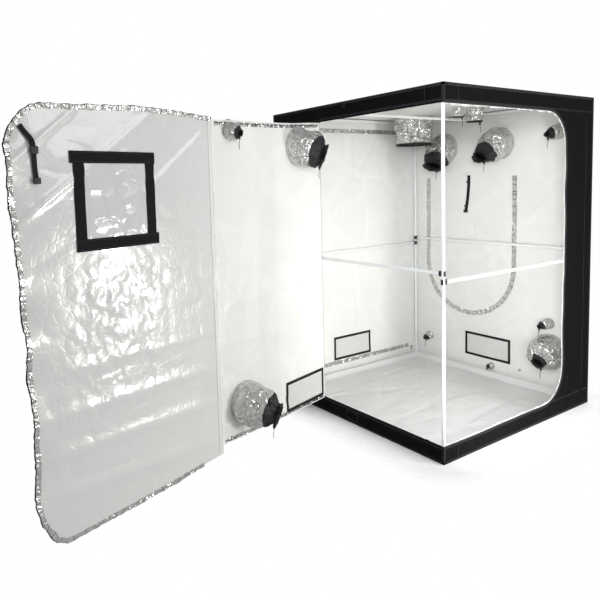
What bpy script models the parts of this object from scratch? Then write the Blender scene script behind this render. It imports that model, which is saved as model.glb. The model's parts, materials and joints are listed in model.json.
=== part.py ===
"""Indoor grow tent, standing with its front left corner thrown wide open.

Twelve steel tubes plug into eight corner joints and carry a sewn cover that is black outside and
white inside.  One wrap of cover, a side panel and a door leaf with a window between them, closes
the two faces that meet at the front left corner.  It hangs on a vertical seam in the left face and
folds where it goes round the corner pole.  The back has a door, the right wall a U shaped hatch,
and four clip-on bars stiffen the poles at half height.

Metres, +Z up.  The origin is on the floor, under the middle of the tent.  The front is -Y.
"""

import math
from dataclasses import dataclass

import bmesh
import bpy
from mathutils import Matrix, Vector

# The cover's outer size
TENT_WIDTH = 1.48
TENT_DEPTH = 1.48
TENT_HEIGHT = 2.02

# Cloth and the clearances between sewn pieces
CLOTH = 0.0015
SEAM_GAP = 0.0003
LAP_GAP = 0.0004
LAP_WIDTH = 0.007

# Steel tubes and the joints they plug into
TUBE_RADIUS = 0.0095
TUBE_WALL = 0.0011
TUBE_FIT = 0.0003
TUBE_SIDES = 16
SOCKET_WALL = 0.0025
SOCKET_LENGTH = 0.055
SOCKET_FLOOR = 0.016
KNUCKLE_PROUD = 0.0006
KNUCKLE_BEVEL = 0.003
JOINT_CLEARANCE = 0.0005
CUT_OVERRUN = 0.004

# Bars that clip to the corner poles at half height
END_BAR_HEIGHT = 0.99
CLIP_STAGGER = 0.016
CLIP_WALL = 0.003
CLIP_HEIGHT = 0.028
CLIP_MOUTH_DEG = 100.0
CLIP_NECK = 0.012
CLIP_NECK_WIDTH = 0.012
CLIP_SPIGOT = 0.03
SPIGOT_FIT = 0.0004
CLIP_STEPS = 11

# The bar that hangs from the top tubes
CEILING_BAR_PLACE = 0.15
CEILING_BAR_DROP = 0.036
HOOK_STRAP = 0.003
HOOK_WIDTH = 0.014
HOOK_FOOT = 0.04
HOOK_BITE = 0.0006

# The openings in the front and left faces
HEADER_HEIGHT = 0.105
SILL_HEIGHT = 0.1
SIDE_HINGE_Y = 0.235
DOORWAY_EDGE_X = 0.385
DOORWAY_CORNER = 0.2
HINGE_CORNER = 0.015
DOOR_DROP = 0.045
FOLD_GAP = 0.0003
WRAP_OPEN_DEG = 75.0
SHARP_DEG = 35.0
ARC_STEPS = 10
CORNER_STEPS = 3

# Soft folds left in the swung out cloth: how high each lies, how far it reaches up and down, and
# how deep it is, as shares of the sheet's height and of the rise
FOLD_RISE = 0.007
FOLD_FADE = 0.12
FOLD_STEPS = 3
DOOR_FOLD_SHARES = ((0.1, 0.055, 0.7), (0.2, 0.045, 1.0), (0.285, 0.04, 0.6), (0.365, 0.045, 0.8))
SIDE_FOLD_SHARES = ((0.3, 0.07, 0.5), (0.47, 0.06, 0.35), (0.6, 0.05, 0.6), (0.69, 0.035, 0.4))

# The window in the door leaf
WINDOW_ACROSS_SHARE = 0.543
WINDOW_UP_SHARE = 0.762
WINDOW_WIDTH = 0.345
WINDOW_TALL = 0.31
WINDOW_BORDER = 0.056
WINDOW_FILM = 0.0008
BORDER_THICK = 0.0022
WINDOW_CORNER = 0.02

# The rear door
REAR_HINGE_X = 0.69
REAR_FREE_X = -0.52

# The U shaped hatch in the right wall
HATCH_CENTRE_Y = 0.2
HATCH_RADIUS = 0.405
HATCH_TOP = 1.55
HATCH_BOTTOM = 0.45
HATCH_STEPS = 22

# Vents, each a net in a sewn border with a flap over it outside
VENT_WIDTH = 0.36
VENT_TALL = 0.15
VENT_BORDER = 0.018
VENT_NET = 0.0009
VENT_HEIGHT = 0.215
VENT_FLAP_LAP = 0.03
VENT_CORNER = 0.012
RIGHT_VENT_Y = 0.028
REAR_VENT_X = -0.015
SIDE_VENT_CENTRE = 0.215

# Gathered sleeves
MAIN_SLEEVE_RADIUS = 0.118
DUCT_SLEEVE_RADIUS = 0.148
CABLE_SLEEVE_RADIUS = 0.058
SMALL_SLEEVE_RADIUS = 0.04
DRAIN_SLEEVE_RADIUS = 0.026
LONG_SLEEVE = 0.3
MAIN_SLEEVE = 0.235
DUCT_SLEEVE = 0.205
ROOF_SLEEVE = 0.13
CABLE_SLEEVE = 0.085
SMALL_SLEEVE = 0.06
DRAIN_SLEEVE = 0.024
COLLAR_THICK = 0.004
COLLAR_REACH = 0.008

# The spill tray
TRAY_LIP = 0.036
TRAY_WALL = 0.0016
TRAY_CLEARANCE = 0.012

# The rear zip's slider
SLIDER_WIDTH = 0.013
SLIDER_LENGTH = 0.02
SLIDER_THICK = 0.006
SLIDER_BEVEL = 0.0012
PULL_WIDTH = 0.008
PULL_LENGTH = 0.034
PULL_THICK = 0.0024
PULL_BITE = 0.004
SLIDER_DROP = 0.018
SLIDER_SETBACK = 0.018

# How a gathered sleeve narrows and pleats from its collar to its hem, as shares of its radius
# and length: where, how wide, how deep the pleats are
SLEEVE_SHAPE_SHARES = (
    (0.0, 1.0, 0.0),
    (0.3, 0.95, 0.03),
    (0.62, 0.96, 0.06),
    (0.85, 0.76, 0.12),
    (0.95, 0.46, 0.17),
    (1.0, 0.5, 0.2),
)
MOUTH_WIDTH_SHARE = 0.3
MOUTH_DEPTH_SHARE = 0.12
SLEEVE_PLEATS = 8
SLEEVE_SIDES = 24
SMALL_SLEEVE_PLEATS = 4
SMALL_SLEEVE_SIDES = 12

# Worked out from the values above
HALF_WIDTH = TENT_WIDTH / 2
HALF_DEPTH = TENT_DEPTH / 2
SOCKET_BORE = TUBE_RADIUS + TUBE_FIT
SOCKET_RADIUS = SOCKET_BORE + SOCKET_WALL
KNUCKLE = SOCKET_RADIUS + KNUCKLE_PROUD
CORNER_INSET = CLOTH + JOINT_CLEARANCE + KNUCKLE
POLE_X = HALF_WIDTH - CORNER_INSET
POLE_Y = HALF_DEPTH - CORNER_INSET
LOW_JOINT = CORNER_INSET
HIGH_JOINT = TENT_HEIGHT - CORNER_INSET
WALL_FOOT = CLOTH + SEAM_GAP
WALL_HEAD = TENT_HEIGHT - CLOTH - SEAM_GAP
OPENING_FOOT = SILL_HEIGHT
OPENING_HEAD = TENT_HEIGHT - HEADER_HEIGHT
SLIDER_START_X = REAR_HINGE_X - SLIDER_SETBACK
SIDE_BAR_HEIGHT = END_BAR_HEIGHT + CLIP_HEIGHT + CLIP_STAGGER
LEAF_FOOT = OPENING_FOOT - LAP_WIDTH
LEAF_HEAD = OPENING_HEAD + LAP_WIDTH
DOOR_FOOT = OPENING_FOOT - DOOR_DROP
FLAP_RISE = LAP_GAP + CLOTH / 2
FOLD_U = SIDE_HINGE_Y + HALF_DEPTH + LAP_GAP
DOOR_WIDTH = DOORWAY_EDGE_X + LAP_WIDTH + HALF_WIDTH + LAP_GAP
WINDOW_CENTRE = DOOR_WIDTH * WINDOW_ACROSS_SHARE
WINDOW_HEIGHT = DOOR_FOOT + (LEAF_HEAD - DOOR_FOOT) * WINDOW_UP_SHARE

FACE_TURN = {"front": 0.0, "right": 90.0, "back": 180.0, "left": -90.0}
FACE_OUT = {"front": HALF_DEPTH, "right": HALF_WIDTH, "back": HALF_DEPTH, "left": HALF_WIDTH}


def clear_scene():
    """Remove every object the file opens with."""
    for obj in list(bpy.data.objects):
        bpy.data.objects.remove(obj, do_unlink=True)


def material(name, colour, roughness, metallic):
    """A Principled material with the piece's own colour and finish."""
    made = bpy.data.materials.new(name)
    made.use_nodes = True
    shader = made.node_tree.nodes["Principled BSDF"]
    shader.inputs["Base Color"].default_value = (*colour, 1.0)
    shader.inputs["Roughness"].default_value = roughness
    shader.inputs["Metallic"].default_value = metallic
    return made


FINISHES = {
    "black_cloth": ((0.012, 0.012, 0.014), 0.7, 0.0),
    "white_cloth": ((0.84, 0.85, 0.85), 0.35, 0.0),
    "foil_cloth": ((0.62, 0.64, 0.65), 0.3, 0.6),
    "white_steel": ((0.86, 0.87, 0.88), 0.35, 0.0),
    "black_plastic": ((0.015, 0.015, 0.016), 0.45, 0.0),
    "net": ((0.8, 0.81, 0.82), 0.8, 0.0),
    "film": ((0.75, 0.78, 0.8), 0.1, 0.0),
    "vinyl": ((0.85, 0.86, 0.86), 0.3, 0.0),
    "zinc": ((0.55, 0.56, 0.58), 0.35, 0.9),
}


def add_object(name, mesh, finish, parent=None, place=None):
    """Put a mesh in the scene as a named piece with its own material."""
    made = bpy.data.objects.new(name, mesh)
    mesh.materials.clear()
    mesh.materials.append(material(name, *FINISHES[finish]))
    bpy.context.scene.collection.objects.link(made)
    if parent is not None:
        made.parent = parent
    if place is not None:
        made.matrix_local = place
    return made


def add_empty(name, parent=None, place=None):
    """An empty that stands on a joint's axis and carries what turns about it."""
    made = bpy.data.objects.new(name, None)
    bpy.context.scene.collection.objects.link(made)
    if parent is not None:
        made.parent = parent
    if place is not None:
        made.matrix_local = place
    return made


def face_place(face, out=0.0):
    """The place of a wall's plane: local X along it, Y up, Z outwards from its outer side."""
    turn = Matrix.Rotation(math.radians(FACE_TURN[face]), 4, "Z")
    stand = Matrix.Rotation(math.radians(90.0), 4, "X")
    move = Matrix.Translation((0.0, -(FACE_OUT[face] + out), 0.0))
    return turn @ move @ stand


def mesh_from(bm, name):
    """Turn a bmesh into a mesh whose faces point outwards, smooth where it is round."""
    bmesh.ops.recalc_face_normals(bm, faces=bm.faces)
    mesh = bpy.data.meshes.new(name)
    bm.to_mesh(mesh)
    bm.free()
    mesh.shade_smooth()
    mesh.set_sharp_from_angle(angle=math.radians(SHARP_DEG))
    return mesh


def turned(bm, profile, sides, place=None):
    """Turn a closed profile of (radius, height) points about local Z."""
    rings = []
    for radius, height in profile:
        ring = []
        for i in range(sides):
            angle = 2 * math.pi * i / sides
            point = Vector((radius * math.cos(angle), radius * math.sin(angle), height))
            ring.append(bm.verts.new(place @ point if place is not None else point))
        rings.append(ring)
    for low, high in zip(rings, rings[1:] + rings[:1]):
        for i in range(sides):
            j = (i + 1) % sides
            bm.faces.new((low[i], low[j], high[j], high[i]))


def rod(bm, radius, start, end, sides, place=None):
    """A solid round rod along local Z from start to end."""
    rings = []
    for height in (start, end):
        ring = []
        for i in range(sides):
            angle = 2 * math.pi * i / sides
            point = Vector((radius * math.cos(angle), radius * math.sin(angle), height))
            ring.append(bm.verts.new(place @ point if place is not None else point))
        rings.append(ring)
    for i in range(sides):
        j = (i + 1) % sides
        bm.faces.new((rings[0][i], rings[0][j], rings[1][j], rings[1][i]))
    bm.faces.new(list(reversed(rings[0])))
    bm.faces.new(rings[1])


def block(bm, low, high):
    """A box between two corners."""
    made = bmesh.ops.create_cube(bm, size=1.0)
    size = Vector(high) - Vector(low)
    middle = (Vector(high) + Vector(low)) / 2
    bmesh.ops.scale(bm, vec=size, verts=made["verts"])
    bmesh.ops.translate(bm, vec=middle, verts=made["verts"])


def prism(bm, outline, low, high, holes=()):
    """Fill an outline, less its holes, and give it a thickness from low to high along Z."""
    edges = []
    for loop in (outline, *holes):
        verts = [bm.verts.new((x, y, low)) for x, y in loop]
        edges += [bm.edges.new((a, b)) for a, b in zip(verts, verts[1:] + verts[:1])]
    filled = bmesh.ops.triangle_fill(bm, use_beauty=True, use_dissolve=False, edges=edges)
    faces = [item for item in filled["geom"] if isinstance(item, bmesh.types.BMFace)]
    raised = bmesh.ops.extrude_face_region(bm, geom=faces)
    verts = [item for item in raised["geom"] if isinstance(item, bmesh.types.BMVert)]
    bmesh.ops.translate(bm, vec=(0.0, 0.0, high - low), verts=verts)


def joined(name, meshes, operation="UNION"):
    """Combine meshes with EXACT Booleans and return the plain mesh that results."""
    helpers = []
    for i, mesh in enumerate(meshes):
        helper = bpy.data.objects.new(f"{name}_piece_{i}", mesh)
        bpy.context.scene.collection.objects.link(helper)
        helper.hide_render = True
        helper.display_type = "WIRE"
        helpers.append(helper)
    for helper in helpers[1:]:
        step = helpers[0].modifiers.new(operation.lower(), "BOOLEAN")
        step.operation = operation
        step.solver = "EXACT"
        step.object = helper
    bpy.context.view_layer.update()
    evaluated = helpers[0].evaluated_get(bpy.context.evaluated_depsgraph_get())
    made = bpy.data.meshes.new_from_object(evaluated)
    for helper in helpers:
        bpy.data.objects.remove(helper, do_unlink=True)
    made.name = name
    made.shade_smooth()
    made.set_sharp_from_angle(angle=math.radians(SHARP_DEG))
    return made


def reflected(mesh, name, signs):
    """A copy of a mesh turned over by a sign for each axis, with its faces still outwards."""
    bm = bmesh.new()
    bm.from_mesh(mesh)
    bmesh.ops.scale(bm, vec=Vector(signs), verts=bm.verts)
    return mesh_from(bm, name)


def arc(centre, radius, start_deg, end_deg, steps):
    """Points on an arc, both ends included."""
    points = []
    for i in range(steps + 1):
        angle = math.radians(start_deg + (end_deg - start_deg) * i / steps)
        points.append((centre[0] + radius * math.cos(angle), centre[1] + radius * math.sin(angle)))
    return points


def rounded(low, high, radii):
    """A rectangle's outline with a radius for each corner, from low left anticlockwise."""
    corners = (
        (low[0], low[1], 1, 1),
        (high[0], low[1], -1, 1),
        (high[0], high[1], -1, -1),
        (low[0], high[1], 1, -1),
    )
    points = []
    for quarter, ((x, y, right, up), radius) in enumerate(zip(corners, radii)):
        if not radius:
            points.append((x, y))
            continue
        centre = (x + right * radius, y + up * radius)
        start = 180 + 90 * quarter
        steps = ARC_STEPS if radius > HINGE_CORNER + WINDOW_CORNER else CORNER_STEPS
        points += arc(centre, radius, start, start + 90, steps)
    return points


def turned_tube(name, length, radius=TUBE_RADIUS):
    """An open tube along local Z, centred."""
    bm = bmesh.new()
    inner = radius - TUBE_WALL
    half = length / 2
    turned(bm, ((radius, -half), (radius, half), (inner, half), (inner, -half)), TUBE_SIDES)
    return mesh_from(bm, name)


ALONG_X = Matrix.Rotation(math.radians(90.0), 4, "Y")
ALONG_Y = Matrix.Rotation(math.radians(-90.0), 4, "X")

CORNERS = {
    "front_left": (-1, -1),
    "front_right": (1, -1),
    "back_right": (1, 1),
    "back_left": (-1, 1),
}
# Each face's two corners, the first where its clip is the plain one
FACE_ENDS = {
    "front": ("left", "right"),
    "right": ("front", "back"),
    "back": ("right", "left"),
    "left": ("back", "front"),
}


def corner_joint_mesh():
    """A three-way socket with its sockets along +X, +Y and +Z."""
    outer = []
    bores = []
    for place in (Matrix.Identity(4), ALONG_X, ALONG_Y):
        bm = bmesh.new()
        rod(bm, SOCKET_RADIUS, 0.0, SOCKET_LENGTH, TUBE_SIDES, place)
        outer.append(mesh_from(bm, "socket"))
        bm = bmesh.new()
        rod(bm, SOCKET_BORE, SOCKET_FLOOR, SOCKET_LENGTH + CUT_OVERRUN, TUBE_SIDES, place)
        bores.append(mesh_from(bm, "bore"))
    bm = bmesh.new()
    block(bm, (-KNUCKLE,) * 3, (KNUCKLE,) * 3)
    bmesh.ops.bevel(
        bm, geom=bm.edges[:], offset=KNUCKLE_BEVEL, segments=1, profile=0.5, affect="EDGES"
    )
    knuckle = mesh_from(bm, "knuckle")
    return joined("corner_joint", [joined("sockets", [knuckle, *outer]), *bores], "DIFFERENCE")


def make_frame():
    """The corner joints, the four poles and the eight bars that run between the joints."""
    master = corner_joint_mesh()
    for corner, (side_x, side_y) in CORNERS.items():
        for level, height, side_z in (("bottom", LOW_JOINT, 1), ("top", HIGH_JOINT, -1)):
            mesh = reflected(master, f"joint_{level}_{corner}", (-side_x, -side_y, side_z))
            place = Matrix.Translation((side_x * POLE_X, side_y * POLE_Y, height))
            add_object(f"corner_joint_{level}_{corner}", mesh, "white_steel", place=place)
        seat = SOCKET_FLOOR + SEAM_GAP
        length = HIGH_JOINT - LOW_JOINT - 2 * seat
        middle = (HIGH_JOINT + LOW_JOINT) / 2
        place = Matrix.Translation((side_x * POLE_X, side_y * POLE_Y, middle))
        mesh = turned_tube(f"pole_{corner}", length)
        add_object(f"corner_pole_{corner}", mesh, "white_steel", place=place)
    for level, height in (("bottom", LOW_JOINT), ("top", HIGH_JOINT)):
        for face, side in (("front", -1), ("back", 1)):
            mesh = turned_tube(f"bar_{face}", 2 * POLE_X - 2 * seat)
            place = Matrix.Translation((0.0, side * POLE_Y, height)) @ ALONG_X
            add_object(f"{level}_bar_{face}", mesh, "white_steel", place=place)
        for face, side in (("left", -1), ("right", 1)):
            mesh = turned_tube(f"bar_{face}", 2 * POLE_Y - 2 * seat)
            place = Matrix.Translation((side * POLE_X, 0.0, height)) @ ALONG_Y
            add_object(f"{level}_bar_{face}", mesh, "white_steel", place=place)


def snap_ring(bm, mouth_deg, width):
    """A C shaped ring round local Z with its mouth centred on the angle given."""
    inner = TUBE_RADIUS + TUBE_FIT
    outer = inner + CLIP_WALL
    start = mouth_deg + CLIP_MOUTH_DEG / 2
    end = mouth_deg + 360.0 - CLIP_MOUTH_DEG / 2
    outline = arc((0.0, 0.0), outer, start, end, CLIP_STEPS)
    outline += reversed(arc((0.0, 0.0), inner, start, end, CLIP_STEPS))
    prism(bm, outline, -width / 2, width / 2)


def clip_mesh():
    """A clip round a pole with its mouth towards -Y, and a spigot along +X for a bar's end."""
    bm = bmesh.new()
    snap_ring(bm, -90.0, CLIP_HEIGHT)
    ring = mesh_from(bm, "ring")
    reach = TUBE_RADIUS + TUBE_FIT + CLIP_WALL / 2
    shoulder = TUBE_RADIUS + TUBE_FIT + CLIP_WALL + CLIP_NECK
    bm = bmesh.new()
    block(
        bm,
        (reach, -CLIP_NECK_WIDTH / 2, -CLIP_HEIGHT / 2),
        (shoulder, CLIP_NECK_WIDTH / 2, CLIP_HEIGHT / 2),
    )
    neck = mesh_from(bm, "neck")
    bm = bmesh.new()
    radius = TUBE_RADIUS - TUBE_WALL - SPIGOT_FIT
    rod(bm, radius, reach + CLIP_WALL, shoulder + CLIP_SPIGOT, TUBE_SIDES, ALONG_X)
    return joined("clip", [ring, neck, mesh_from(bm, "spigot")])


def make_mid_bars():
    """Four bars at half height, each with a clip at either end; each slides up or down its poles."""
    plain = clip_mesh()
    handed = reflected(plain, "clip_handed", (-1, 1, 1))
    shoulder = TUBE_RADIUS + TUBE_FIT + CLIP_WALL + CLIP_NECK
    for face, ends in FACE_ENDS.items():
        end_bar = face in ("front", "back")
        height = END_BAR_HEIGHT if end_bar else SIDE_BAR_HEIGHT
        half = POLE_X if end_bar else POLE_Y
        off = POLE_Y if end_bar else POLE_X
        turn = Matrix.Rotation(math.radians(FACE_TURN[face]), 4, "Z")
        carrier = add_empty(f"carrier_{face}", place=Matrix.Translation((0.0, 0.0, height)) @ turn)
        mesh = turned_tube(f"mid_{face}", 2 * (half - shoulder - SEAM_GAP))
        place = Matrix.Translation((0.0, -off, 0.0)) @ ALONG_X
        add_object(f"mid_bar_{face}", mesh, "white_steel", carrier, place)
        for end, mesh, side in ((ends[0], plain, -1), (ends[1], handed, 1)):
            place = Matrix.Translation((side * half, -off, 0.0))
            add_object(f"mid_clip_{face}_{end}", mesh.copy(), "black_plastic", carrier, place)


def make_ceiling_bar():
    """A tube under the roof whose straps hook over the left and right top bars."""
    drop = HIGH_JOINT - CEILING_BAR_DROP
    inside = POLE_X - TUBE_RADIUS - TUBE_FIT
    top = drop + TUBE_RADIUS - HOOK_BITE
    riser_half = HOOK_WIDTH / 2 - HOOK_BITE
    foot_half = riser_half - HOOK_BITE
    rail = turned_tube("rail", 2 * inside)
    rail.transform(Matrix.Translation((0.0, 0.0, drop)) @ ALONG_X)
    pieces = [rail]
    for side in (-1, 1):
        bm = bmesh.new()
        snap_ring(bm, -90.0, HOOK_WIDTH)
        hook = mesh_from(bm, "hook")
        stand = Matrix.Rotation(math.radians(90.0), 4, "X")
        hook.transform(Matrix.Translation((side * POLE_X, 0.0, HIGH_JOINT)) @ stand)
        bm = bmesh.new()
        ends = sorted((side * inside, side * (inside - HOOK_STRAP)))
        block(bm, (ends[0], -riser_half, top), (ends[1], riser_half, HIGH_JOINT))
        riser = mesh_from(bm, "riser")
        bm = bmesh.new()
        ends = sorted((side * (inside - HOOK_STRAP / 2), side * (inside - HOOK_FOOT)))
        block(bm, (ends[0], -foot_half, top), (ends[1], foot_half, top + HOOK_STRAP))
        pieces += [hook, riser, mesh_from(bm, "foot")]
    mesh = joined("ceiling_bar", pieces)
    place = Matrix.Translation((0.0, CEILING_BAR_PLACE, 0.0))
    add_object("ceiling_bar", mesh, "white_steel", place=place)


@dataclass(frozen=True)
class Sleeve:
    """A gathered sleeve: how wide and long it is, and how far it droops and leans."""

    name: str
    radius: float
    length: float
    droop_deg: float
    lean_deg: float
    small: bool = False


def sleeve_mesh(sleeve, root, hang, foot):
    """A sleeve from a collar at root, pointing to local -Z and drooping towards hang.

    foot is how far before the root plane the solid starts, so that a small one can be
    sunk into the panel that carries it.
    """
    sides = SMALL_SLEEVE_SIDES if sleeve.small else SLEEVE_SIDES
    pleats = SMALL_SLEEVE_PLEATS if sleeve.small else SLEEVE_PLEATS
    into = INTO
    hang = (hang - into * hang.dot(into)).normalized()
    across = into.cross(hang)
    lean = math.radians(sleeve.lean_deg)
    hang = hang * math.cos(lean) + across * math.sin(lean)
    across = into.cross(hang)
    bm = bmesh.new()
    rings = []

    def ring(centre, along, radius, depth):
        """Add one pleated ring square to the sleeve's path."""
        up = across.cross(along)
        verts = []
        for i in range(sides):
            angle = 2 * math.pi * i / sides
            reach = radius * (1 + depth * math.cos(pleats * angle))
            verts.append(
                bm.verts.new(
                    centre + across * (reach * math.cos(angle)) + up * (reach * math.sin(angle))
                )
            )
        rings.append(verts)

    collar = sleeve.radius + COLLAR_REACH
    ring(root - into * foot, into, collar, 0.0)
    ring(root + into * COLLAR_THICK, into, collar, 0.0)
    centre = root + into * (COLLAR_THICK + SEAM_GAP)
    last = 0.0
    along = into
    for where, width, depth in SLEEVE_SHAPE_SHARES:
        bend = math.radians(sleeve.droop_deg) * where
        along = into * math.cos(bend) + hang * math.sin(bend)
        centre = centre + along * (sleeve.length * (where - last))
        last = where
        ring(centre, along, sleeve.radius * width, depth)
    mouth = sleeve.radius * MOUTH_WIDTH_SHARE
    ring(centre, along, mouth, SLEEVE_SHAPE_SHARES[-1][2])
    ring(centre - along * (sleeve.length * MOUTH_DEPTH_SHARE), along, mouth * MOUTH_WIDTH_SHARE, 0.0)
    for low, high in zip(rings, rings[1:]):
        for i in range(sides):
            j = (i + 1) % sides
            bm.faces.new((low[i], low[j], high[j], high[i]))
    bm.faces.new(list(reversed(rings[0])))
    bm.faces.new(rings[-1])
    return mesh_from(bm, sleeve.name)


INTO = Vector((0.0, 0.0, -1.0))
DOWN = Vector((0.0, -1.0, 0.0))
# Which way the roof's sleeves tip as they hang: to the right and the front
ROOF_TIP = Vector((0.53, -0.85, 0.0))


def panel_sleeve(sleeve, width, height, hang, foot, inside):
    """A sleeve's mesh in its panel's plane; inside is how far in the panel's inner face lies."""
    across, up = SLEEVE_PLACE_SHARES[sleeve.name]
    root = Vector((across * width, up * height, -inside))
    return sleeve_mesh(sleeve, root, hang, foot)


# Where each sleeve is sewn on, as shares of its panel's width and height
SLEEVE_PLACE_SHARES = {
    "right_sleeve_back": (0.284, 0.8785),
    "right_sleeve_middle": (-0.047, 0.881),
    "right_sleeve_low": (-0.325, 0.148),
    "cable_top": (-0.35, 0.905),
    "cable_mid": (-0.315, 0.243),
    "cable_low": (0.395, 0.1),
    "drain": (-0.01, 0.0372),
    "side_sleeve_upper": (0.246, 0.868),
    "side_sleeve_lower": (0.81, 0.15),
    "cable_side": (0.86, 0.905),
    "roof_sleeve_duct": (0.288, 0.3176),
    "roof_sleeve_fan": (0.28, -0.06),
    "cable_roof": (0.17, -0.05),
}
RIGHT_SLEEVES = (
    Sleeve("right_sleeve_back", MAIN_SLEEVE_RADIUS, LONG_SLEEVE, 88.0, 6.0),
    Sleeve("right_sleeve_middle", MAIN_SLEEVE_RADIUS, MAIN_SLEEVE, 50.0, -10.0),
    Sleeve("right_sleeve_low", MAIN_SLEEVE_RADIUS, MAIN_SLEEVE, 34.0, 12.0),
)
RIGHT_SMALL = (
    Sleeve("cable_top", CABLE_SLEEVE_RADIUS, CABLE_SLEEVE, 50.0, -30.0, True),
    Sleeve("cable_mid", SMALL_SLEEVE_RADIUS, CABLE_SLEEVE, 40.0, -30.0, True),
    Sleeve("cable_low", SMALL_SLEEVE_RADIUS, SMALL_SLEEVE, 60.0, 0.0, True),
    Sleeve("drain", DRAIN_SLEEVE_RADIUS, DRAIN_SLEEVE, 10.0, 0.0, True),
)
SIDE_SLEEVES = (
    Sleeve("side_sleeve_upper", MAIN_SLEEVE_RADIUS, MAIN_SLEEVE, 38.0, 4.0),
    Sleeve("side_sleeve_lower", MAIN_SLEEVE_RADIUS, MAIN_SLEEVE, 30.0, -8.0),
)
SIDE_SMALL = (Sleeve("cable_side", SMALL_SLEEVE_RADIUS, SMALL_SLEEVE, 50.0, -20.0, True),)
ROOF_SLEEVES = (
    Sleeve("roof_sleeve_duct", DUCT_SLEEVE_RADIUS, DUCT_SLEEVE, 3.0, 0.0),
    Sleeve("roof_sleeve_fan", CABLE_SLEEVE_RADIUS, ROOF_SLEEVE, 8.0, 0.0, True),
)
ROOF_SMALL = (Sleeve("cable_roof", SMALL_SLEEVE_RADIUS, SMALL_SLEEVE, 10.0, 0.0, True),)


def cloth_panel(name, outline, holes=()):
    """A flat panel of cloth in its own plane, its outer side at Z = 0."""
    bm = bmesh.new()
    prism(bm, outline, -CLOTH, 0.0, holes)
    return mesh_from(bm, name)


def make_roof():
    """The roof, with a small cable sleeve sewn in, and the two sleeves that hang from it."""
    outline = rounded((-HALF_WIDTH, -HALF_DEPTH), (HALF_WIDTH, HALF_DEPTH), (HINGE_CORNER,) * 4)
    pieces = [cloth_panel("roof_panel", outline)]
    for sleeve in ROOF_SMALL:
        pieces.append(panel_sleeve(sleeve, TENT_WIDTH, TENT_DEPTH, ROOF_TIP, CLOTH / 2, CLOTH))
    place = Matrix.Translation((0.0, 0.0, TENT_HEIGHT))
    add_object("roof", joined("roof", pieces), "black_cloth", place=place)
    for sleeve in ROOF_SLEEVES:
        mesh = panel_sleeve(sleeve, TENT_WIDTH, TENT_DEPTH, ROOF_TIP, 0.0, CLOTH + SEAM_GAP)
        add_object(sleeve.name, mesh, "foil_cloth", place=place)


def make_floor():
    """The floor sheet and the loose spill tray that stands on it inside the bottom bars."""
    outline = rounded((-HALF_WIDTH, -HALF_DEPTH), (HALF_WIDTH, HALF_DEPTH), (HINGE_CORNER,) * 4)
    place = Matrix.Translation((0.0, 0.0, CLOTH))
    add_object("floor_sheet", cloth_panel("floor_panel", outline), "black_cloth", place=place)
    half_x = POLE_X - KNUCKLE - TRAY_CLEARANCE
    half_y = POLE_Y - KNUCKLE - TRAY_CLEARANCE
    bm = bmesh.new()
    block(bm, (-half_x, -half_y, 0.0), (half_x, half_y, TRAY_LIP))
    bm.faces.ensure_lookup_table()
    top = max(bm.faces, key=lambda face: face.calc_center_median().z)
    bmesh.ops.inset_region(bm, faces=[top], thickness=TRAY_WALL)
    bmesh.ops.translate(bm, vec=(0.0, 0.0, TRAY_WALL - TRAY_LIP), verts=top.verts)
    place = Matrix.Translation((0.0, 0.0, CLOTH + SEAM_GAP))
    add_object("spill_tray", mesh_from(bm, "tray"), "vinyl", place=place)


def make_front_surround():
    """Header, right column and sill of the front, cut away round the doorway to the left corner."""
    low, high = (-HALF_WIDTH, WALL_FOOT), (HALF_WIDTH, WALL_HEAD)
    edge, radius = DOORWAY_EDGE_X, DOORWAY_CORNER
    outline = [low, (high[0], low[1]), high, (low[0], high[1]), (low[0], OPENING_HEAD)]
    outline += arc((edge - radius, OPENING_HEAD - radius), radius, 90, 0, ARC_STEPS)
    outline += arc((edge - radius, OPENING_FOOT + radius), radius, 0, -90, ARC_STEPS)
    outline.append((low[0], OPENING_FOOT))
    mesh = cloth_panel("front_surround", outline)
    add_object("front_surround", mesh, "black_cloth", place=face_place("front"))


def side_span():
    """Half the length of a side wall, which stands between the front and the back."""
    return HALF_DEPTH - CLOTH - SEAM_GAP


def make_left_surround():
    """Header, sill and fixed strip of the left face; the side panel hangs on the strip."""
    span = side_span()
    edge = LAP_WIDTH - SIDE_HINGE_Y
    radius = HINGE_CORNER
    outline = [(-span, WALL_FOOT), (span, WALL_FOOT), (span, OPENING_FOOT)]
    outline += arc((edge + radius, OPENING_FOOT + radius), radius, 270, 180, ARC_STEPS)
    outline += arc((edge + radius, OPENING_HEAD - radius), radius, 180, 90, ARC_STEPS)
    outline += [(span, OPENING_HEAD), (span, WALL_HEAD), (-span, WALL_HEAD)]
    mesh = cloth_panel("left_surround", outline)
    add_object("left_surround", mesh, "black_cloth", place=face_place("left"))


def bordered_plate(name, low, high, thin, thick, border, corner):
    """A thin rounded plate with a thicker border, its flat side at Z = 0."""
    bm = bmesh.new()
    outer = rounded(low, high, (corner,) * 4)
    inner = rounded(
        (low[0] + border, low[1] + border), (high[0] - border, high[1] - border), (corner / 2,) * 4
    )
    prism(bm, outer, -thick, 0.0, (inner,))
    frame = mesh_from(bm, "border")
    bm = bmesh.new()
    bite = border / 2
    prism(
        bm,
        rounded(
            (low[0] + bite, low[1] + bite), (high[0] - bite, high[1] - bite), (corner / 2,) * 4
        ),
        -(thick + thin) / 2,
        -(thick - thin) / 2,
    )
    return joined(name, [frame, mesh_from(bm, "sheet")])


def flap_mesh(name, half_width, tall, corner):
    """A hanging flap whose top edge lies on local X, its middle at Z = 0."""
    bm = bmesh.new()
    outline = rounded(
        (-half_width, -tall), (half_width, -CLOTH / 2), (corner, corner, corner / 2, corner / 2)
    )
    prism(bm, outline, -CLOTH / 2, CLOTH / 2)
    return mesh_from(bm, name)


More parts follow.
